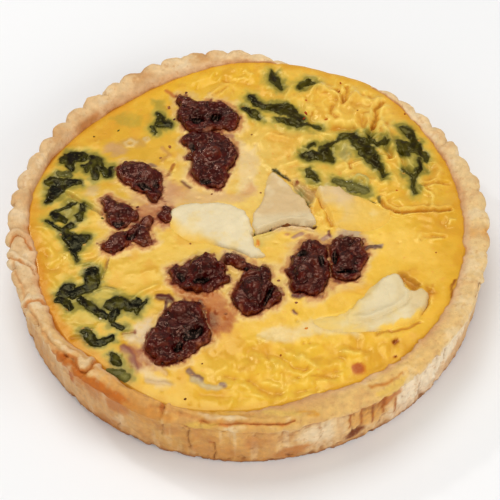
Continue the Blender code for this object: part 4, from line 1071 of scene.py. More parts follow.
def custardTones(x, y, relief, cavity, outward, azimuth, pudding, leaf):
    c = custardColours
    p = flat(x, y)
    weights, mixed = 0.0, 0.0
    wx, wy = skinMarkings(x, y)
    for rx, ry, colour in c["regions"]:
        weight = np.exp(-(((x - rx) ** 2 + (y - ry) ** 2) / 24.0 ** 2))[:, None] + 1e-6
        weights, mixed = weights + weight, mixed + weight * np.array(colour, float)
    tones = mixed / weights
    # lighter on raised and convex skin and darker orange in low and hollow skin: painted highlight and
    # painted shade of the folds; the two noise layers are random tone
    tones = paintLayers(tones, c, (
        ("paleAndHighlight", 0.3 * step(0.2, 2.2, relief)),
        ("paleAndHighlight", 0.6 * step(0.03, 0.22, -cavity)),
        ("deep", 0.5 * step(-0.05, 0.6, layeredNoise(p, 7.0, 4, 72))),
        ("paleAndHighlight", 0.25 * step(0.1, 0.7, layeredNoise(p, 11.0, 4, 73))),
        ("deep", 0.5 * step(-0.1, -1.1, relief)),
        ("grooveShade", 0.7 * step(0.05, 0.32, cavity)),
    ))
    ragged = pudding + 1.6 * layeredNoise(p, 2.8, 4, 80) + 1.8 * layeredNoise(p, 13.0, 2, 88)
    tones = blendColour(tones, c["halo"], 0.6 * step(-5.0, -2.0, ragged))
    tones = blendColour(tones, c["fringe"], 0.8 * step(-2.1, -0.5, ragged))
    grain = layeredNoise(p, 1.9, 3, 74)
    for outline, colour, strength in skinPatches:
        near = nearOutline(x, y, outline, 4.0)
        inner = insideDistance(wx[near], wy[near], np.array(outline, float))
        speck = grain[near]
        share = strength * step(-2.2, 1.4, inner + 1.0 * speck) * (1.0 - 0.35 * np.maximum(speck, 0.0))
        tones[near] = blendColour(tones[near], colour, share)
    for points, width, colour, strength, _ in skinMarks:
        near = nearOutline(x, y, points, 3.0)
        distance = lineDistance(0.5 * (wx + x)[near], 0.5 * (wy + y)[near], points)
        tones[near] = blendColour(tones[near], colour, strength * step(width + 0.5, width * 0.5, distance))
    stain = leaf + 1.6 * layeredNoise(p, 4.5, 3, 79)
    tones = paintLayers(tones, c, (
        ("oliveLight", 0.75 * step(5.2, 1.6, stain)),
        ("olive", 0.9 * step(2.7, 0.9, stain)),
        ("oliveDark", 0.95 * step(1.1, 0.0, leaf + 0.8 * layeredNoise(p, 2.8, 3, 84))),
        ("fringeDark", 0.9 * step(-1.1, 0.1, pudding + 1.1 * layeredNoise(p, 1.8, 3, 87))),
    ))
    band = step(0.965, 0.998, outward + 0.02 * layeredNoise(p, 6.0, 3, 81))
    tones = blendColour(tones, c["edge"], 0.5 * band)
    border = outward + 0.02 * layeredNoise(p, 5.0, 3, 82)
    leftBand = bump(azimuth, 205.0, 42.0) ** 0.5 * step(0.93, 0.985, border)
    tones = blendColour(tones, c["leftEdge"], 0.75 * leftBand)
    backLeft = bump(azimuth, 180.0, 96.0) ** 0.5
    tones = blendColour(tones, c["contact"], backLeft * 0.7 * step(0.992, 1.003, outward))
    return tones


def makeCustard(finish):
    n = custardShape["side"]
    u, v = np.meshgrid(np.linspace(-1, 1, n), np.linspace(-1, 1, n), indexing="ij")
    u, v = u.ravel(), v.ravel()
    wide = np.abs(u) > np.abs(v)  # a square spread evenly over a disc
    big = np.where(wide, u, v)
    small = np.where(wide, v, u)
    turn = np.pi / 4 * small / np.where(big == 0, 1, big)
    turn = np.where(wide, turn, np.pi / 2 - turn)
    disc = np.stack([big * np.cos(turn), big * np.sin(turn)], 1)
    azimuth = np.degrees(np.arctan2(disc[:, 1], disc[:, 0])) % 360.0
    reach = edgeRadius(azimuth) + custardShape["overlap"]
    x, y = disc[:, 0] * reach, disc[:, 1] * reach
    height, relief, share, azimuth = skinShape(x, y)
    pudding, leaf = rimOfTopping(x, y)
    height = height - underToppings(x, y, pudding, leaf)
    crumbs = np.maximum(layeredNoise(flat(x, y), 2.0, 3, 86), 0.0)
    crumbs = crumbs * step(-3.0, -1.0, pudding) * step(1.5, 0.5, pudding)
    height = height + 0.9 * crumbs
    wx, wy = skinMarkings(x, y)
    for points, width, _, _, depth in skinMarks:
        near = nearOutline(x, y, points, 3.0)
        distance = lineDistance(0.5 * (wx + x)[near], 0.5 * (wy + y)[near], points)
        height[near] -= depth * np.exp(-(distance / (width + 0.4)) ** 2)
    pits, _, depth = cellPattern(flat(x, y), 5.5, 61)
    height = height - (0.25 + 0.25 * depth) * np.exp(-(pits / 0.12) ** 2)
    cavity = cavityOf(height, n, 5)
    for outline, depth in skinHollows:
        near = nearOutline(x, y, outline, 3.0)
        inner = insideDistance(wx[near], wy[near], np.array(outline, float))
        height[near] -= depth * step(-0.5, 0.9, inner)
    tones = custardTones(x, y, relief, cavity, share, azimuth, pudding, leaf)
    points = np.stack([x, y, height], 1)
    faces = gridFaces(n, n, around=False)
    index = np.arange(n * n).reshape(n, n)
    ring = np.concatenate([index[:-1, 0], index[-1, :-1], index[:0:-1, -1], index[0, :0:-1]])
    angle = azimuth[ring]
    lower = ((edgeRadius(angle) - 0.4, height[ring] - 1.6), (edgeRadius(angle) - 1.6, height[ring] - 3.6),
             (np.full(len(ring), tin["floorRadius"] - 0.6), np.full(len(ring), tin["floorHeight"] + 0.5)))
    sides = []
    for radius, z in lower:
        sides.append(np.stack([radius * np.cos(np.radians(angle)), radius * np.sin(np.radians(angle)), z], 1))
    rows = [ring] + [n * n + k * len(ring) + np.arange(len(ring)) for k in range(len(lower))]
    band = []
    for upper, under in zip(rows[:-1], rows[1:]):
        band.append(np.stack([upper, under, np.roll(under, -1), np.roll(upper, -1)], 1))
    last, hub = rows[-1], n * n + len(lower) * len(ring)
    fan = np.stack([last, np.full(len(last), hub), np.roll(last, -1)], 1)
    points = np.vstack([points] + sides + [[(0.0, 0.0, tin["floorHeight"] + 0.5)]])
    tones = np.vstack([tones] + [tones[ring]] * len(lower) + [[custardColours["under"]]])
    piece = makeMesh("custardFilling", points, np.vstack([faces] + band), fan, tones, finish, "custard")
    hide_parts("custard")


makeCustard(foodMaterial("custardSkin", custardLook))
print("custard made")


# pastry case: control points up the wall, over the rim and down inside, then rows between them

pastryLook = {"mottleScale": 380.0, "mottle": 0.11, "grainScale": 1500.0, "grain": 0.6, "grainDepth": 0.0005,
              "swell": 1.0, "fleckScale": 520.0, "fleck": (0.58, 0.7, 0.45), "fleckColour": (188, 132, 78),
              "rough": (0.5, 0.78), "shineColour": (1.0, 0.9, 0.75), "gloss": 0.3, "soft": 0.04,
              "softRadius": (1.0, 0.7, 0.4)}
pastryShape = {
    "columns": 1120,
    "rows": (3, 26, 9, 7, 7, 12, 5, 4),
    "knob": (-67.2, -69.8, 2.4, 1.2),  # a small lump on the rim: x, y, radius, height
    # a ledge along the front: azimuths, and its height at each
    "ledge": ((252, 262, 268, 274, 278, 283, 289, 296, 304), (29, 28, 27, 25, 24, 27, 26, 23, 21)),
}

# creases in the rim: points, depth, half width, how much the pastry swells beside them, how strongly the
# crease colour is painted along them
rimCreases = (
    (((-102, -7.5), (-100.5, -3.8), (-99, -2.5), (-97.7, -3.1), (-95.9, -4.5), (-94, -7.6), (-92.4, -10.5)),
     0.9, 0.45, 0.7, 0.9),
    (((-102.5, -14.2), (-99.1, -15.9), (-96.9, -16.5), (-95.2, -17.6), (-92.5, -19.8), (-90.4, -23)),
     1.0, 0.5, 0.7, 0.6),
    (((-99.6, -17.2), (-98.5, -21.5), (-96.5, -26.2), (-94.5, -31), (-93.9, -36)), 0.6, 0.45, 0.5, 0.3),
    (((-95, -39.4), (-91.5, -37.9), (-89, -37), (-87, -36.6), (-85.6, -38.7)), 1.0, 0.45, 0.6, 0.8),
    (((-92.4, -39.2), (-88.7, -45.9), (-85.9, -52), (-82.3, -58.1), (-78.8, -62.6), (-75.4, -65.1)),
     0.8, 0.55, 0.7, 0.3),
    (((-76, -65), (-71.7, -66.6), (-71.1, -69.4), (-69.5, -72.8), (-67, -73.4), (-65, -71.4), (-63.4, -67.5)),
     1.3, 0.6, 1.0, 0.9),
    (((-102, 36.5), (-99.5, 37.4)), 0.9, 0.5, 0.3, 0.3),
    (((-103.5, 12.6), (-101, 15)), 0.8, 0.5, 0.3, 0.2),
    (((-41, -89.5), (-34, -92), (-28, -94.5), (-19, -98.5), (-5, -100)), 0.5, 0.6, 0.4, 0.3),
    (((99, -36), (97, -35), (94, -45), (91, -51)), 1.1, 0.5, 0.6, 0.0),
    (((-21, -98.2), (-16.4, -99.8), (-9.3, -100.2), (-3.8, -100.2), (4.9, -100.8), (12.7, -100.9),
      (16, -99.6)),
     1.0, 0.45, 0.6, 0.9),
    (((-12, -95), (-6, -96.5), (0, -95.5)), 0.4, 0.5, 0.4, 0.2),
    (((62, -78), (66, -80), (70, -78)), 0.7, 0.5, 0.4, 0.0),
    (((88, 40), (92, 44), (90, 49)), 0.6, 0.5, 0.4, 0.0),
    (((-60, 76), (-66, 78), (-70, 76)), 0.6, 0.5, 0.3, 0.0),
)

# cracks running down the wall: azimuth, lowest, highest, depth, raised on one side
wallSeams = (
    (249.0, 13.0, 33.0, 1.0, 0.6), (255.0, 8.0, 25.0, 0.9, 0.5), (261.0, 2.0, 15.0, 0.8, 0.4),
    (237.0, 4.0, 20.0, 0.5, 0.3), (226.5, 8.0, 27.0, 0.4, 0.2), (293.0, 9.0, 24.0, 0.5, 0.3),
    (307.0, 12.0, 26.0, 0.8, 0.5), (310.5, 9.0, 27.0, 0.9, 0.6), (314.0, 12.0, 24.0, 0.9, 0.5),
    (317.5, 11.0, 27.0, 1.0, 0.6), (321.0, 13.0, 25.0, 0.8, 0.5), (325.0, 8.0, 22.0, 0.6, 0.4),
    (213.0, 6.0, 18.0, 0.5, 0.3), (344.0, 8.0, 22.0, 0.5, 0.3), (16.0, 4.0, 18.0, 0.5, 0.3),
    (33.0, 7.0, 20.0, 0.6, 0.4), (52.0, 3.0, 16.0, 0.6, 0.4), (196.0, 9.0, 22.0, 0.4, 0.3),
)


def fluteWave(azimuth):  # broad crests and narrow notches
    phase = (azimuth - tin["firstFlute"]) / 360.0 * tin["flutes"]
    return 2.0 * np.abs(np.cos(np.pi * phase)) ** 0.7 - 1.0


def fluteDepth(azimuth):
    crisp = np.maximum(bump(azimuth, 140.0, 78.0) ** 0.5, 0.6 * bump(azimuth, 25.0, 60.0))
    return tin["fluteDepth"] * (0.3 + 0.7 * crisp)


def curveWeights(t):  # Catmull-Rom
    return ((-t ** 3 + 2 * t ** 2 - t) / 2, (3 * t ** 3 - 5 * t ** 2 + 2) / 2,
            (-3 * t ** 3 + 4 * t ** 2 + t) / 2, (t ** 3 - t ** 2) / 2)


def pastryRows(azimuth):  # radius, height and part for each row, from the foot to the inside
    turn = np.radians(azimuth)
    ring = np.stack([np.cos(turn) * 20, np.sin(turn) * 20, turn * 0], 1)
    top, outer = rimHeight(azimuth), rimRadius(azimuth)
    uneven = 1.0 + 0.3 * softNoise(ring, 1.6, 81)
    flute = fluteWave(azimuth + 0.6 * softNoise(ring, 3.0, 82)) * fluteDepth(azimuth) * uneven
    base = tin["baseRadius"] - 0.22 * np.maximum(104.0 - outer, 0.0)
    narrow = bump(azimuth, *tin["narrowLip"]) ** 0.5
    cover = overRim(azimuth)
    wobble = 0.8 * softNoise(ring, 1.3, 83) + 0.4 * softNoise(ring, 0.5, 84)
    lipRadius = (1 - cover) * (edgeRadius(azimuth) + 0.3 + wobble) + cover * (outer - 7.0)
    lipHeight = (1 - cover) * (edgeHeight(azimuth) + 0.1) + cover * (top - 1.4)
    crest = np.maximum(outer - tin["crestInset"] - 1.6 * narrow, lipRadius + 1.0)
    scallop = 0.35 * flute
    control = (
        (base - 1.4 + 0.3 * flute, 0 * top),
        (base + 0.4 * flute, 0 * top + 1.6),
        (outer - 0.9 + 0.85 * flute, top - 6.0 - 1.6 * narrow),
        (outer - 0.1 + flute, top - 2.4 - 2.0 * narrow + scallop),
        (outer - 1.3 - 1.9 * narrow + flute, top - 0.5 - 1.4 * narrow + scallop),
        (crest + 0.7 * flute, top + 0.5 * scallop),
        (lipRadius + 0.36 * (crest - lipRadius), 0.72 * top + 0.28 * lipHeight),
        (lipRadius, lipHeight),
        (lipRadius - 1.2, lipHeight - 3.0),
    )
    radii = np.array([c[0] for c in control])
    heights = np.array([c[1] for c in control])
    rows = []
    for k, count in enumerate(pastryShape["rows"]):
        picks = (max(0, k - 1), k, k + 1, min(len(control) - 1, k + 2))
        for i in range(count):
            weights = curveWeights(i / count)
            rows.append((sum(w * radii[j] for w, j in zip(weights, picks)),
                         sum(w * heights[j] for w, j in zip(weights, picks)), k + i / count))
    rows.append((radii[-1], heights[-1], len(control) - 1.0))
    radius, z = np.array([r[0] for r in rows]), np.array([r[1] for r in rows])
    part = np.repeat(np.array([r[2] for r in rows])[:, None], len(azimuth), 1)
    return radius, np.maximum(z, 0.0), part


def pastryRelief(p, azimuth, part):
    x, y, z = p[:, 0], p[:, 1], p[:, 2]
    wall = step(3.2, 2.2, part) * step(0.3, 1.0, part)
    upper = step(2.2, 3.2, part)
    tall = p * np.array((1.0, 1.0, 0.3))
    rough = 0.26 * layeredNoise(p, 5.0, 3, 101) + 0.28 * layeredNoise(p, 1.8, 2, 102)
    rough = rough + 0.5 * upper * layeredNoise(p, 8.0, 3, 106)
    rough = rough + wall * (0.30 * layeredNoise(tall, 2.8, 3, 104) + 0.35 * layeredNoise(p, 7.0, 3, 107))
    flaky = np.maximum(bump(azimuth, 314.0, 20.0), 0.35 * bump(azimuth, 30.0, 40.0)) * step(0.5, 1.3, part)
    slabs = layeredNoise(tall, 3.0, 3, 103) * 3.2
    slabs = np.floor(slabs) + step(0.55, 1.0, slabs - np.floor(slabs))
    rough = rough + 0.42 * flaky * slabs * step(4.0, 2.8, part)
    cells = cellPattern(p * np.array((1.0, 1.0, 0.8)), 6.5, 108)
    chips = step(0.14, 0.0, cells[1] - cells[0]) * step(0.1, 0.7, cells[2]) * wall
    rough = rough - 0.3 * chips
    warp = layeredNoise(p, 4.0, 2, 105)
    for line, depth, width, swell, _ in rimCreases:
        near = nearOutline(x, y, line, 6.0)
        distance = lineDistance(x[near] + 1.1 * warp[near], y[near] + 1.1 * warp[near], line)
        shape = swell * np.exp(-((distance - 2.0) / 1.3) ** 2) - depth * np.exp(-(distance / width) ** 1.5)
        rough[near] += shape * step(2.0, 3.0, part[near])
    ledgeHeight = np.interp(azimuth, *pastryShape["ledge"])
    under = ledgeHeight + 0.6 * warp - z
    ledge = step(248.0, 256.0, azimuth) * step(308.0, 300.0, azimuth) * step(4.2, 3.4, part)
    profile = 0.8 * np.exp(-(under / 0.45) ** 2) + 0.7 * step(0.0, 0.9, under) - 0.35 * step(1.5, 5.0, under)
    rough = rough - ledge * profile
    for centre, low, high, depth, raised in wallSeams:
        offset = (azimuth - centre) * 1.8 + 1.2 * warp + 0.5 * np.sin(z * 0.5)
        along = step(low - 2, low + 1, z) * step(high + 2, high - 1, z)
        rough = rough - depth * np.exp(-(offset / 0.4) ** 2) * along
        rough = rough + raised * np.exp(-((offset - 1.2) / 0.9) ** 2) * along
    knobX, knobY, size, height = pastryShape["knob"]
    knob = np.hypot(x - knobX, y - knobY)
    rough = rough + height * np.exp(-(knob / size) ** 2) * step(2.6, 3.6, part)
    foot = step(1.6, 0.9, part)
    rough = rough - foot * 0.7 * step(-0.1, 0.7, layeredNoise(p, 3.4, 3, 109))
    return rough


pastryColours = {
    # what the rim's colour is at each azimuth, with the light and shade that fall there painted in
    "rim": ((0, (230, 194, 134)), (30, (232, 198, 146)), (60, (234, 200, 150)), (90, (234, 200, 150)),
            (130, (228, 190, 138)), (165, (222, 182, 130)), (195, (226, 191, 142)), (225, (224, 176, 108)),
            (240, (220, 160, 82)), (252, (220, 164, 88)), (275, (220, 170, 92)), (290, (228, 184, 112)),
            (305, (232, 188, 112)), (320, (230, 188, 120)), (335, (230, 192, 130))),
    # the wall's, at mid height, with its light and shade painted in too
    "wall": ((0, (222, 182, 128)), (40, (212, 166, 108)), (80, (206, 154, 96)), (130, (204, 152, 94)),
             (180, (218, 176, 124)), (205, (230, 190, 134)), (218, (226, 188, 136)), (226, (216, 168, 112)),
             (235, (214, 164, 106)), (243, (214, 164, 98)), (252, (212, 160, 88)), (262, (218, 164, 88)),
             (272, (220, 166, 94)), (283, (228, 192, 138)), (290, (230, 194, 140)), (298, (226, 178, 108)),
             (306, (242, 220, 186)), (320, (246, 226, 194)), (338, (232, 200, 152))),
    "toast": (204, 148, 92),
    "inside": (224, 178, 132),
    # the browned inside colour is partly painted shade on the inner wall at the back-left
    "insideBrownedAndShade": (190, 126, 72),
    "baked": (174, 102, 48),
    "crease": (200, 122, 58),
    "foot": (158, 96, 48),
    # flour is also used as painted highlight on raised relief; the crack colour after it is painted shade in
    # low relief
    "flourAndHighlight": (240, 222, 190),
    "crackShade": (126, 72, 34),
    "stripe": (160, 84, 32),
    "film": (226, 168, 62),
    "crumb": (214, 172, 118),
    "underBrowned": (184, 124, 66),
}
# dark runs down the front of the wall: azimuth, lowest, highest
wallStripes = ((292.5, 14.0, 25.0), (295.5, 12.0, 25.0), (298.5, 10.0, 24.0), (301.5, 12.0, 24.0),
               (304.5, 9.0, 18.0))
# browned or pale places on the wall and rim: azimuth, height, half widths in degrees and mm, colour, strength
pastryPatches = (
    (223.5, 22.0, 1.2, 7.0, (184, 96, 42), 0.8), (221.0, 27.0, 3.0, 2.5, (190, 108, 46), 0.7),
    (228.0, 24.0, 5.0, 4.0, (206, 134, 70), 0.6), (235.0, 26.0, 5.0, 3.0, (204, 128, 62), 0.6),
    (242.0, 27.0, 4.0, 2.5, (208, 140, 68), 0.6),
    (230.0, 20.0, 2.6, 6.0, (190, 124, 70), 0.6), (237.0, 20.0, 4.0, 5.0, (190, 116, 62), 0.7),
    (244.0, 22.0, 2.5, 6.0, (206, 146, 74), 0.6), (262.0, 9.0, 7.0, 6.0, (200, 136, 72), 0.5),
    (278.0, 6.0, 4.0, 4.0, (190, 120, 60), 0.8), (270.0, 18.0, 2.0, 5.0, (196, 132, 74), 0.7),
    (233.0, 4.0, 3.0, 3.0, (178, 112, 60), 0.6), (255.0, 25.5, 1.0, 1.6, (176, 96, 40), 0.8),
    (248.5, 29.0, 0.8, 1.8, (178, 98, 40), 0.8), (261.0, 16.5, 0.9, 1.6, (178, 100, 44), 0.7),
    (284.0, 16.0, 4.5, 8.0, (238, 212, 172), 0.75), (298.0, 17.0, 6.5, 9.0, (220, 160, 80), 0.8),
    (293.5, 7.0, 2.5, 3.0, (120, 58, 26), 0.95), (303.0, 22.0, 3.0, 4.0, (178, 96, 38), 0.7),
    (210.0, 10.0, 10.0, 9.0, (196, 138, 82), 0.5), (330.0, 8.0, 14.0, 7.0, (206, 150, 92), 0.5),
    (355.0, 28.0, 2.0, 3.0, (222, 150, 62), 0.7), (100.0, 27.0, 4.0, 3.0, (190, 126, 64), 0.6),
    (118.0, 27.0, 5.0, 3.0, (186, 124, 66), 0.6), (147.0, 27.0, 4.0, 3.0, (188, 130, 74), 0.5),
    (150.0, 10.0, 12.0, 8.0, (186, 124, 66), 0.5), (75.0, 12.0, 10.0, 9.0, (178, 112, 54), 0.6),
    (40.0, 10.0, 9.0, 8.0, (188, 124, 64), 0.5), (110.0, 15.0, 8.0, 8.0, (214, 168, 112), 0.5),
)
# filling baked onto the pastry: points, half widths, colour
caramelTrails = (
    (((-81, -61.8), (-78.8, -64.4), (-75.5, -66.6), (-72.6, -68.8), (-71.3, -71.4), (-69.5, -74.8),
      (-67, -77), (-64.5, -78.8), (-61.2, -80.8), (-57.9, -82.9), (-53, -85.8), (-47, -89)),
     (0.3, 0.6, 0.9, 1.0, 1.4, 1.7, 1.8, 1.8, 1.7, 1.7, 1.4, 0.6), (188, 102, 36)),
    (((-62.9, -68), (-64.6, -72.6), (-67.5, -74.6)), (0.5, 0.7, 0.6), (196, 112, 38)),
    (((-51, -87.5), (-42, -91.5), (-33, -95)), (1.2, 1.6, 0.8), (206, 140, 66)),
    (((17, -96), (20, -95), (24, -96), (25, -97), (21, -97)), (0.3, 0.4, 0.5, 0.4, 0.3), (214, 146, 48)),
    (((5, -94.5), (12, -96), (18, -96.5)), (1.2, 1.6, 1.0), (226, 184, 96)),
    (((47, -85), (52, -84), (56, -82), (60, -79)), (0.4, 0.6, 0.5, 0.4), (196, 118, 44)),
    (((51, -88), (56, -85), (60, -82)), (1.2, 1.8, 1.4), (226, 184, 92)),
    (((-30, -97.5), (-22, -99), (-14, -100)), (0.5, 0.8, 0.6), (222, 178, 84)),
)


def roundTable(table, azimuth):  # colours in a table round the case
    places = np.array([a for a, _ in table], float)
    colours = np.array([c for _, c in table], float)
    return np.stack([np.interp(azimuth, places, colours[:, k], period=360.0) for k in range(3)], 1)


def pastryTones(p, azimuth, part, relief):
    c = pastryColours
    x, y, z = p[:, 0], p[:, 1], p[:, 2]
    cloudy = layeredNoise(p, 9.0, 4, 111)
    speck = layeredNoise(p, 2.2, 3, 112)
    around = azimuth + 2.5 * speck
    tones = roundTable(c["rim"], around)
    tones = blendColour(tones, c["toast"], 0.34 * step(-0.05, 0.6, cloudy + 0.6 * speck))
    tones = blendColour(tones, c["flourAndHighlight"], 0.35 * step(0.1, 0.6, -cloudy + 0.4 * speck))
    wall = step(3.7, 2.3, part + 0.35 * speck)[:, None]
    lower = roundTable(c["wall"], around)
    lower = paintLayers(lower, c, (
        ("baked", 0.4 * step(0.1, 0.75, cloudy + 0.3 * speck) * (1 - bump(azimuth, 325, 40))),
        ("flourAndHighlight", 0.4 * step(0.15, 0.7, -cloudy + 0.4 * speck)),
        ("baked", 0.22 * step(12.0, 2.0, z + 5.0 * cloudy)),
    ))
    streak = layeredNoise(p * np.array((1.0, 1.0, 0.12)), 2.6, 3, 113)
    lower = blendColour(lower, c["flourAndHighlight"], 0.35 * step(0.05, 0.6, streak))
    lower = blendColour(lower, c["toast"],
                        0.45 * step(0.05, 0.6, -streak) * (1 - 0.7 * bump(azimuth, 316.0, 22.0)))
    tones = tones * (1.0 - wall) + lower * wall
    inside = step(5.6, 6.6, part)
    tones = blendColour(tones, c["inside"], 0.7 * inside)
    # browner at the back-left: partly real browning, partly painted shade on the inner wall there, which
    # faces away from the light
    browned = inside * step(-0.1, 0.5, cloudy) * (0.3 + 0.6 * bump(azimuth, 130.0, 60.0))
    tones = blendColour(tones, c["insideBrownedAndShade"], browned)
    tones = blendColour(tones, c["insideBrownedAndShade"], 0.5 * step(6.75, 7.0, part))
    wz = z + 3.0 * cloudy + 0.8 * speck
    wa = azimuth + 1.2 * cloudy + 0.8 * speck
    for centre, height, halfAngle, halfHeight, colour, strength in pastryPatches:
        offset = (wa - centre + 180.0) % 360.0 - 180.0
        away = np.hypot(offset / halfAngle, (wz - height) / halfHeight)
        tones = blendColour(tones, colour, strength * step(1.25, 0.5, away) * step(6.4, 5.4, part))
    for centre, low, high in wallStripes:
        offset = (azimuth - centre) * 1.8 + 0.7 * speck + 0.5 * cloudy
        share = np.exp(-(offset / 0.7) ** 2) * step(low - 2, low, z) * step(high + 2, high, z)
        tones = blendColour(tones, c["stripe"], 0.85 * share)
    # darker at the foot of the wall; then paler on raised relief and darker in low relief, cracks and seams:
    # painted highlight and painted shade
    tones = paintLayers(tones, c, (
        ("foot", wall[:, 0] * 0.75 * step(4.0, 0.8, z + 1.6 * speck)),
        ("flourAndHighlight", 0.4 * step(0.45, 1.2, relief)),
        ("crackShade", 0.7 * step(-0.5, -1.3, relief)),
    ))
    for points, _, width, _, tint in rimCreases:
        near = nearOutline(x, y, points, 4.0) & (part > 2.4)
        distance = lineDistance(x[near] + 0.5 * speck[near], y[near] + 0.5 * speck[near], points)
        tones[near] = blendColour(tones[near], c["crease"], tint * step(1.7 * width, 0.4 * width, distance))
    for points, widths, colour in caramelTrails:
        near = nearOutline(x, y, points, 4.0) & (part > 2.2)
        distance = lineDistance(x[near] + 1.2 * speck[near], y[near] + 1.2 * cloudy[near], points, widths)
        ragged = distance + 0.7 * layeredNoise(p[near], 2.6, 3, 114)
        tones[near] = blendColour(tones[near], colour, 0.9 * step(0.9, -0.9, ragged))
    film = bump(azimuth, 262.0, 9.0) * step(5.2, 6.0, part)
    return blendColour(tones, c["film"], 0.8 * film)


def makePastry(finish):
    columns = pastryShape["columns"]
    azimuth = np.arange(columns) * 360.0 / columns
    turn = np.radians(azimuth)
    radius, z, part = pastryRows(azimuth)
    grid = np.stack([radius * np.cos(turn), radius * np.sin(turn), z], -1)
    normal = np.cross(np.roll(grid, -1, 1) - np.roll(grid, 1, 1), np.gradient(grid, axis=0))
    normal /= np.linalg.norm(normal, axis=-1, keepdims=True) + 1e-9
    p = grid.reshape(-1, 3)
    around = np.tile(azimuth, len(radius))
    relief = pastryRelief(p, around, part.ravel())
    relief[:columns] = 0.0
    points = p + normal.reshape(-1, 3) * relief[:, None]
    points[:, 2] = np.clip(points[:, 2], 0.0, cadBox[1][2] / mm - 0.2)
    tones = pastryTones(p, around, part.ravel(), relief)
    rows = len(radius)
    inner = np.stack([tin["floorRadius"] * np.cos(turn), tin["floorRadius"] * np.sin(turn),
                      turn * 0 + tin["floorHeight"]], 1)
    faces = [gridFaces(rows, columns), gridFaces(2, columns, start=(rows - 1) * columns)]
    under = []
    lowest = np.arange(columns)
    start = (rows + 1) * columns
    for k, share in enumerate((0.93, 0.8, 0.6, 0.35, 0.12)):
        under.append(points[:columns] * np.array((share, share, 0.0)))
        ids = start + k * columns + np.arange(columns)
        faces.append(np.stack([ids, np.roll(ids, -1), np.roll(lowest, -1), lowest], 1))
        lowest = ids
    under = np.vstack(under)
    crumb = np.array(pastryColours["crumb"], float)
    browned = step(-0.2, 0.7, layeredNoise(under, 16.0, 4, 91))
    underTones = blendColour(np.tile(crumb, (len(under), 1)), pastryColours["underBrowned"], browned)
    hubTop, hubUnder = start + len(under), start + len(under) + 1
    floorRing = rows * columns + np.arange(columns)
    fans = np.vstack([
        np.stack([floorRing, np.roll(floorRing, -1), np.full(columns, hubTop)], 1),
        np.stack([np.roll(lowest, -1), lowest, np.full(columns, hubUnder)], 1),
    ])
    points = np.vstack([points, inner, under, [(0, 0, tin["floorHeight"]), (0, 0, 0)]])
    tones = np.vstack([tones, np.tile(crumb, (columns, 1)), underTones, [crumb] * 2])
    reach = np.maximum(np.abs(points[:, 0]), np.abs(points[:, 1]))
    limit = min(-cadBox[0][0], cadBox[1][0], -cadBox[0][1], cadBox[1][1]) / mm
    points[:, :2] *= np.minimum(1.0, limit / np.maximum(reach, 1.0))[:, None]
    piece = makeMesh("pastryCase", points, np.vstack(faces), fans, tones, finish, "pastry")
    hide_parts("pastry_case")


makePastry(foodMaterial("bakedPastry", pastryLook))
print("pastry case made")


# pudding: a masked plan grid lifted to the lumpy top, closed below, then remeshed and roughened all over

def remeshed(name, points, faces, voxel):
    mesh = bpy.data.meshes.new(name)
    mesh.from_pydata((points * mm).tolist(), [], faces.tolist())
    body = bpy.data.objects.new(name, mesh)
    scene.collection.objects.link(body)
    remesh = body.modifiers.new("remesh", "REMESH")
    remesh.mode = "VOXEL"
    remesh.voxel_size = voxel * mm
    smooth = body.modifiers.new("smooth", "SMOOTH")
    smooth.factor = 0.5
    smooth.iterations = 2
    crumb = bpy.data.meshes.new_from_object(body.evaluated_get(bpy.context.evaluated_depsgraph_get()))
    body.modifiers.clear()
    body.data = crumb
    bpy.data.meshes.remove(mesh)
    crumb.name = name
    return body


def surfacePoints(mesh):  # points in mm and their normals
    co = np.zeros(len(mesh.vertices) * 3, np.float32)
    mesh.vertices.foreach_get("co", co)
    normals = np.zeros(len(mesh.vertices) * 3, np.float32)
    mesh.vertex_normals.foreach_get("vector", normals)
    return co.reshape(-1, 3).astype(float) / mm, normals.reshape(-1, 3).astype(float)


def solidSheet(faces, sides, top, bottom, used):  # closes a kept patch of grid with walls and an underside
    upper, lower = top[used], bottom[used]
    count = len(upper)
    walls = np.stack([sides[:, 1], sides[:, 0], sides[:, 0] + count, sides[:, 1] + count], 1)
    return np.vstack([upper, lower]), np.vstack([faces, faces[:, ::-1] + count, walls])


def makeChunk(name, look, finish, seed):
    low, high = np.min(look["outline"], 0) - 2.0, np.max(look["outline"], 0) + 2.0
    x, y, shape = patchGrid(low, high, puddingShape["spacing"])
    lift, inner, _, _, _ = puddingTop(x, y, look, seed)
    faces, sides = patchFaces(inner > 0.0, shape)
    used, faces, sides = compact(faces, sides, len(x))
    ground = skinShape(x, y)[0]
    top = np.stack([x, y, ground + lift], 1)
    bottom = np.stack([x, y, ground - 3.2], 1)
    points, faces = solidSheet(faces, sides, top, bottom, used)
    body = remeshed("puddingCrumb" + name[-3:], points, faces, puddingShape["voxel"])
    p, normals = surfacePoints(body.data)
    grain, _, number = cellPattern(p, 1.5, seed + 15)
    rough = step(-0.2, 0.5, layeredNoise(p, 6.0, 2, seed + 16))  # some places are smooth and some grainy
    crag = 0.5 * layeredNoise(p, 2.8, 3, seed) + (0.16 + 0.5 * rough) * (0.62 - grain) * (0.7 + 0.5 * number)
    pits, _, depth = cellPattern(p, 2.6, seed + 9)
    hole = step(0.30, 0.10, pits) * step(0.3, 0.6, depth)
    crag = crag - 0.5 * hole
    moved = p + normals * crag[:, None]
    moved[:, 2] = np.minimum(moved[:, 2], cadBox[1][2] / mm - 0.1)
    body.data.vertices.foreach_set("co", (moved * mm).astype(np.float32).ravel())
    body.data.update()
    body.data.shade_smooth()
    paintTones(body.data, puddingTones(moved, normals, crag, hole, look, seed), "pudding")
    body.data.materials.clear()
    body.data.materials.append(finish)
    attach(body, "root")
    if "chunk" in name:
        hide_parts(name)


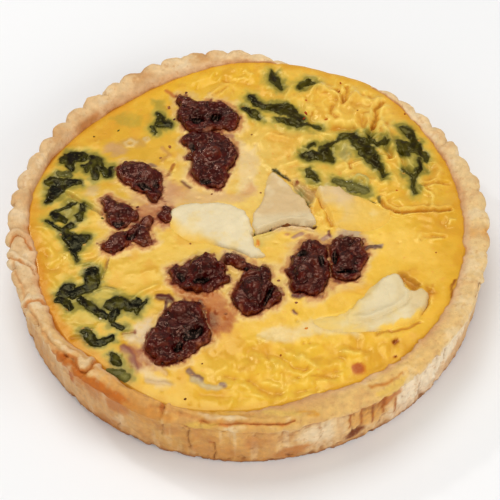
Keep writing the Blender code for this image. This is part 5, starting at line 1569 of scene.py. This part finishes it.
def puddingTones(p, normals, crag, hole, look, seed):
    c = puddingColours
    _, inner, lump, label, deep = puddingTop(p[:, 0], p[:, 1], look, seed)
    cloudy = layeredNoise(p, 3.2, 3, seed + 3)
    tones = np.tile(np.array(c["body"], float), (len(p), 1))
    # greyer on upward-facing tops: a painted sheen
    tones = paintLayers(tones, c, (
        ("topSheen", 0.65 * step(0.8, 0.98, normals[:, 2]) * step(-0.3, 0.4, cloudy + 0.5 * label)),
        ("red", 0.6 * step(0.0, 0.6, layeredNoise(p, 2.2, 3, seed + 4))),
        ("red", 0.6 * step(3.2, 1.2, inner)),
        ("rim", 0.65 * step(1.0, 0.1, inner + 0.6 * cloudy)),
    ))
    smear = step(0.15, 0.6, layeredNoise(p, 3.6, 3, seed + 17)) * step(3.6, 0.6, inner)
    # a smear, then painted shade: darker in the crevices between lumps, in the crag's recesses and in the
    # hollows and holes
    tones = paintLayers(tones, c, (
        ("smear", 0.6 * smear),
        ("dark", 0.25 * step(0.6, 0.1, lump)),
        ("dark", 0.5 * step(-0.1, -0.55, crag)),
        ("dark", 0.9 * np.maximum(step(0.25, 0.8, deep), 0.7 * hole)),
    ))
    # darker on steep and downward-facing sides: painted shade
    return blendColour(tones, c["dark"], 0.35 * step(0.4, -0.1, normals[:, 2]))


puddingFinish = foodMaterial("darkPudding", puddingLook)
for seed, (name, look) in enumerate(puddingChunks.items()):
    makeChunk(name, look, puddingFinish, 400 + 10 * seed)
print("pudding made")


# cheese: slices that tilt out of the custard on one side and melt into it on the other

cheeseLook = {"mottleScale": 200.0, "mottle": 0.04, "grainScale": 900.0, "grain": 0.4, "grainDepth": 0.0003,
              "swell": 0.3, "fleckScale": 480.0, "fleck": (0.66, 0.78, 0.35), "fleckColour": (226, 176, 104),
              "rough": (0.45, 0.62), "shineColour": (1.0, 0.92, 0.75), "gloss": 0.3, "soft": 0.06,
              "softRadius": (1.0, 0.7, 0.4)}
cheeseShape = {
    "spacing": 0.55,
    "paleCorner": ((37, 19.5), (42, 19), (47, 15), (46, 10), (41, 11)),  # on the third slice
}
cheeseColours = {"bloom": (244, 226, 184), "edge": (226, 178, 92), "merged": (240, 190, 80),
                 "frontEnd": (226, 206, 164), "corner": (224, 192, 146), "fold": (246, 198, 92),
                 "disc": (229, 211, 169), "ring": (216, 188, 132), "discEnd": (222, 194, 142),
                 "streak": (222, 192, 132), "crumbs": (248, 200, 82)}
# the ringed rind on the front slice: outline of the raised disc inside it
innerDisc = ((60, -26.5), (63.4, -30), (65.2, -34), (66.2, -38), (65.3, -42), (62, -45.5), (57.3, -48.6),
             (51.5, -50.6), (45.2, -51.8), (40, -51), (40.5, -46), (46, -39.5), (51.5, -33))


def sliceShape(name, look, x, y, seed):
    p = flat(x, y)
    wx = x + 0.8 * layeredNoise(p, 3.6, 4, seed)
    wy = y + 0.8 * layeredNoise(p, 3.6, 4, seed + 1)
    inner = insideDistance(wx, wy, roundCorners(look["outline"]))
    melt = meltShare(x, y, look)
    centre = np.mean(look["outline"], 0)
    reach = np.ptp(look["outline"], 0).max() / 2
    tx, ty, amount = look["tilt"]
    slope = ((x - centre[0]) * tx + (y - centre[1]) * ty) / reach
    width = look["edge"] + 2.4 * melt
    rise = look["rise"] * (1.0 - 0.75 * melt) + amount * np.clip(slope, -0.6, 1.0) * (1.0 - melt)
    crown = np.clip(inner / width, 0.0, 1.0)
    lift = rise * np.sqrt(1.0 - (1.0 - crown) ** 2) + 0.22 * layeredNoise(p, 5.0, 3, seed + 2)
    crumbly = step(-0.1, 0.5, layeredNoise(p, 8.0, 2, seed + 10))
    lift = lift + 0.10 * ridgeNoise(p, 3.0, 2, seed + 3) - 0.5 * (1.0 - crown) ** 2
    lift = lift + 0.22 * crumbly * layeredNoise(p, 1.9, 3, seed + 11)
    if name.endswith("4"):
        disc = insideDistance(wx, wy, roundCorners(innerDisc))
        nearSide = step(2.0, 18.0, 0.45 * (x - 45.0) - (y + 36.0))  # the raised rim fades on the far side
        lift = lift + nearSide * 0.7 * np.exp(-((disc - 0.9) / 1.2) ** 2)
        lift = lift - 0.35 * nearSide * step(1.8, 4.5, disc)
        lift = lift - nearSide * 0.9 * np.exp(-((disc + 0.9) / 0.8) ** 2)
        lumps = step(0.0, -2.0, disc) * step(64.0, 68.0, x)
        lift = lift + lumps * (0.5 * layeredNoise(p, 3.0, 2, seed + 7) + 0.25)
        return lift, inner, melt, disc
    return lift, inner, melt, None


def makeSlice(name, look, finish, seed):
    low, high = np.min(look["outline"], 0) - 2.0, np.max(look["outline"], 0) + 2.0
    x, y, shape = patchGrid(low, high, cheeseShape["spacing"])
    lift, inner, melt, disc = sliceShape(name, look, x, y, seed)
    faces, sides = patchFaces(inner > -0.9, shape)
    used, faces, sides = compact(faces, sides, len(x))
    ground = skinShape(x, y)[0]
    outside = step(0.2, -0.9, inner)
    top = np.stack([x, y, ground + lift - 0.9 * outside], 1)
    bottom = np.stack([x, y, np.full_like(x, filling["level"] - 4.0)], 1)
    p = flat(x, y)
    tones = np.tile(np.array(look["plain"], float), (len(x), 1))
    c = cheeseColours
    film = 0.35 * step(0.0, 0.6, layeredNoise(p, 6.0, 3, seed + 4))
    tones = blendColour(tones, look["coated"], np.maximum(melt, film))
    tones = blendColour(tones, c["bloom"], 0.4 * step(0.05, 0.6, layeredNoise(p, 8.0, 3, seed + 6)))
    tones = blendColour(tones, c["edge"], 0.6 * step(0.7, -0.3, inner))
    merged = melt * step(6.5, 0.0, inner + 2.2 * layeredNoise(p, 4.0, 3, seed + 12))
    tones = blendColour(tones, c["merged"], look["merged"] * merged)
    if name.endswith("2"):
        front = y - 0.05 * x - 4.0 - 1.5 * layeredNoise(p, 6.0, 2, seed)
        tones = blendColour(tones, c["frontEnd"], 0.75 * step(2.0, -3.0, front))
    if name.endswith("3"):
        pale = insideDistance(x, y, np.array(cheeseShape["paleCorner"], float))
        pale = pale + 1.5 * layeredNoise(p, 5.0, 3, seed + 5)
        tones = blendColour(tones, c["corner"], 0.6 * step(-3.0, 1.0, pale))
        facet = np.exp(-((x + 0.36 * y - 36.6) / 1.2) ** 2)  # a bright fold down its left side
        tones = blendColour(tones, c["fold"], 0.7 * facet)
    if disc is not None:
        nearEnd = step(46.0, 56.0, x - 0.4 * (y + 40.0))
        tones = paintLayers(tones, c, (
            ("disc", 0.85 * step(-1.4, 1.6, disc) * nearEnd),
            ("ring", 0.5 * np.exp(-((disc - 3.0) / 1.6) ** 2) * step(58.0, 64.0, x)),
            ("discEnd", 0.6 * step(0.0, -2.0, disc) * step(64.0, 68.0, x)),
        ))
        streaks = layeredNoise(flat(0.3 * x + 0.1 * y, y - 0.15 * x), 2.2, 3, seed + 9)
        tones = blendColour(tones, c["streak"], 0.6 * step(0.0, 0.6, streaks) * step(56.0, 46.0, x))
        ragged = inner + 1.0 * layeredNoise(p, 2.4, 3, seed + 8)
        crumbs = step(3.0, 1.4, ragged) * step(-46.0, -50.0, y - 0.25 * (x - 70.0)) * step(50.0, 55.0, x)
        tones = blendColour(tones, c["crumbs"], 0.9 * crumbs)
    points, faces = solidSheet(faces, sides, top, bottom, used)
    tones = np.vstack([tones[used], np.tile(look["plain"], (used.sum(), 1))])
    piece = makeMesh(name.replace("cheese_slice", "cheeseSlice"), points, faces, np.zeros((0, 3), int), tones,
                     finish, "cheese")
    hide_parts(name)


cheeseFinish = foodMaterial("softCheese", cheeseLook)
for seed, (name, look) in enumerate(cheeseSlices.items()):
    makeSlice(name, look, cheeseFinish, 600 + 10 * seed)
print("cheese made")


# spinach: crumpled sheets, standing out of the skin in the middle and diving under it at the edges

def makeLeaf(name, strokes, finish, seed):
    corners = [point for points, _ in strokes for point in points]
    x, y, shape = patchGrid(np.min(corners, 0) - 6.0, np.max(corners, 0) + 6.0, leafShape["spacing"])
    out = leafDistance(x, y, strokes, seed)
    faces, sides = patchFaces(out < leafShape["reach"], shape)
    used, faces, sides = compact(faces, sides, len(x))
    x, y, out = x[used], y[used], out[used]
    ground = skinShape(x, y)[0]
    p = flat(x, y)
    along = flat(x + 0.8 * y, 0.35 * (y - 0.8 * x))  # creases run one way more than the other
    crumple = 0.26 * ridgeNoise(p, 6.5, 2, seed + 4) + 0.08 * ridgeNoise(along, 2.4, 2, seed + 5)
    z = ground + 0.18 * step(0.8, -1.2, out) - 0.6 * step(0.0, 0.8, out) + crumple * step(0.4, -1.6, out)
    c = leafColours
    tones = np.tile(np.array(c["body"], float), (len(x), 1))
    # darker in the crumple's hollows and lighter on its crests: painted shade and painted highlight; the
    # streaks along the creases are veins, and the noise layers random tone
    tones = paintLayers(tones, c, (
        ("dark", 0.8 * step(0.2, -0.4, crumple)),
        ("veinAndHighlight", 0.4 * step(0.12, 0.3, crumple)),
        ("veinAndHighlight", 0.4 * step(0.15, 0.6, layeredNoise(along, 1.9, 3, seed + 6))),
        ("dark", 0.6 * step(0.0, 0.5, layeredNoise(p, 5.0, 3, seed + 2))),
        ("olive", 0.6 * step(0.1, 0.6, layeredNoise(p, 5.5, 3, seed + 3))),
    ))
    stain = out + 0.5 * layeredNoise(p, 3.0, 2, seed + 7)
    tones = blendColour(tones, custardColours["oliveDark"], 0.7 * step(-0.9, 0.2, stain))
    tones = blendColour(tones, c["warm"], 0.3 * step(-10.0, 20.0, x))
    if name in leafShape["paler"]:
        tones = blendColour(tones, c["pale"], np.full(len(x), 0.55))
    piece = makeMesh(name.replace("spinach_leaf", "spinachLeaf"), np.stack([x, y, z], 1), faces,
                     np.zeros((0, 3), int), tones, finish, "spinach")
    thick = piece.modifiers.new("thickness", "SOLIDIFY")
    thick.thickness = leafShape["thickness"] * mm
    thick.offset = 0.0
    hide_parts(name)


leafFinish = foodMaterial("wiltedLeaf", leafLook)
for seed, (name, strokes) in enumerate(spinachLeaves.items()):
    makeLeaf(name, strokes, leafFinish, 800 + 10 * seed)
print("spinach made")


# small pieces of the filling: x, y, half length, half width, half height, heading, colour

puddingBits = (
    (-33.5, 46.5, 0.8, 1.2, 0.5, 20, (150, 92, 50)), (-37.5, 40, 0.9, 0.8, 0.5, 0, (156, 98, 54)),
    (-34, 70.5, 0.8, 1.2, 0.5, 10, (140, 84, 50)), (19.5, -41.5, 0.8, 0.6, 0.4, 0, (140, 82, 56)),
    (-26, 79, 0.8, 1.0, 0.6, 0, (96, 48, 38)), (-47.5, 12, 1.0, 0.7, 0.6, 30, (110, 60, 44)),
    (12.5, -30, 0.9, 0.7, 0.5, 0, (168, 106, 76)), (-18, -48.5, 1.0, 0.8, 0.7, 0, (96, 44, 34)),
    (-10, -46, 0.8, 0.6, 0.5, 0, (150, 92, 56)), (-31.5, 63, 0.9, 0.7, 0.6, 40, (110, 60, 50)),
)
herbBits = (
    (28.5, 63, 1.5, 0.6, 0.5, -60, (176, 64, 34)), (27.5, 59.5, 1.1, 0.5, 0.5, 50, (178, 70, 36)),
    (37.5, 59, 1.0, 0.6, 0.4, 20, (214, 118, 40)), (29, 71, 0.5, 0.5, 0.4, 0, (168, 60, 30)),
    (45.5, 82, 0.5, 0.6, 0.4, 0, (166, 76, 34)), (44.5, 77, 0.5, 0.4, 0.4, 0, (160, 66, 32)),
    (73.5, 61, 0.5, 0.6, 0.4, 0, (158, 70, 34)), (66, 16, 0.6, 0.5, 0.4, 0, (190, 92, 38)),
    (-24.5, -9, 0.6, 0.5, 0.4, 0, (158, 100, 56)),
    (3.5, 51.5, 0.6, 0.5, 0.4, 0, (150, 100, 60)), (-15, 18, 0.7, 0.5, 0.4, 30, (150, 96, 60)),
    (6.5, 17.5, 0.6, 0.5, 0.4, 0, (150, 98, 60)), (-27, -86.5, 0.8, 0.6, 0.4, 20, (112, 58, 30)),
    (58.5, -62, 0.5, 0.4, 0.4, 0, (150, 84, 36)), (58.5, -69.5, 0.7, 0.4, 0.4, 30, (140, 76, 34)),
    (-62.5, 6.5, 1.2, 0.6, 0.5, -30, (96, 96, 40)), (23, -54.5, 1.0, 0.6, 0.4, 20, (220, 132, 48)),
    (43.5, 7, 0.9, 0.4, 0.4, 40, (148, 110, 56)), (1, -8.5, 0.5, 0.4, 0.4, 0, (120, 76, 44)),
    (52, 63, 0.5, 0.4, 0.3, 0, (160, 96, 44)), (12, -67, 0.5, 0.5, 0.3, 0, (170, 92, 40)),
    (-68, 55, 0.6, 0.5, 0.4, 0, (120, 92, 40)), (-57, 58, 0.9, 0.5, 0.4, 40, (104, 96, 44)),
    (-20, -70, 0.5, 0.4, 0.3, 0, (132, 80, 40)), (80, -18, 0.5, 0.4, 0.3, 0, (180, 100, 40)),
)
onionBits = (
    (47, 20, 0.6, 0.5, 0.4, 0, (232, 224, 196)), (44.5, 22, 0.5, 0.4, 0.4, 0, (236, 226, 200)),
    (50.5, 17.6, 0.5, 0.5, 0.4, 0, (230, 220, 190)), (36, 19.2, 1.2, 0.9, 0.5, 30, (240, 226, 192)),
    (-57, -45.5, 0.8, 0.6, 0.4, 0, (222, 206, 168)), (-62, -46.5, 0.7, 0.5, 0.4, 0, (216, 196, 160)),
)


def ballShape(level):
    shape = bmesh.new()
    bmesh.ops.create_icosphere(shape, subdivisions=level, radius=1.0)
    points = np.array([v.co[:] for v in shape.verts])
    faces = np.array([[v.index for v in f.verts] for f in shape.faces])
    shape.free()
    return points, faces


def makeBits(name, bits, finish, slot, seed):
    ball, ballFaces = ballShape(3)
    points, faces, tones = [], [], []
    for k, (bx, by, length, width, height, heading, colour) in enumerate(bits):
        turn = math.radians(heading)
        rough = 1.0 + 0.3 * layeredNoise(ball * 1.4 + 9.0 * k, 1.0, 3, seed)
        local = 0.8 * ball * np.array((length, width, height)) * rough[:, None]
        x = bx + local[:, 0] * math.cos(turn) - local[:, 1] * math.sin(turn)
        y = by + local[:, 0] * math.sin(turn) + local[:, 1] * math.cos(turn)
        z = skinShape(x, y)[0] + local[:, 2]
        shade = 1.0 + 0.14 * layeredNoise(ball * 2.0 + 5.0 * k, 1.0, 3, seed + 3)
        points.append(np.stack([x, y, z], 1))
        faces.append(ballFaces + k * len(ball))
        tones.append(np.array(colour, float) * shade[:, None])
    makeMesh(name, np.vstack(points), np.zeros((0, 4), int), np.vstack(faces), np.vstack(tones), finish, slot)


makeBits("puddingBits", puddingBits, puddingFinish, "pudding", 901)
makeBits("herbBits", herbBits, leafFinish, "spinach", 921)
makeBits("onionBits", onionBits, cheeseFinish, "cheese", 941)
print("small pieces made")

bpy.context.view_layer.update()
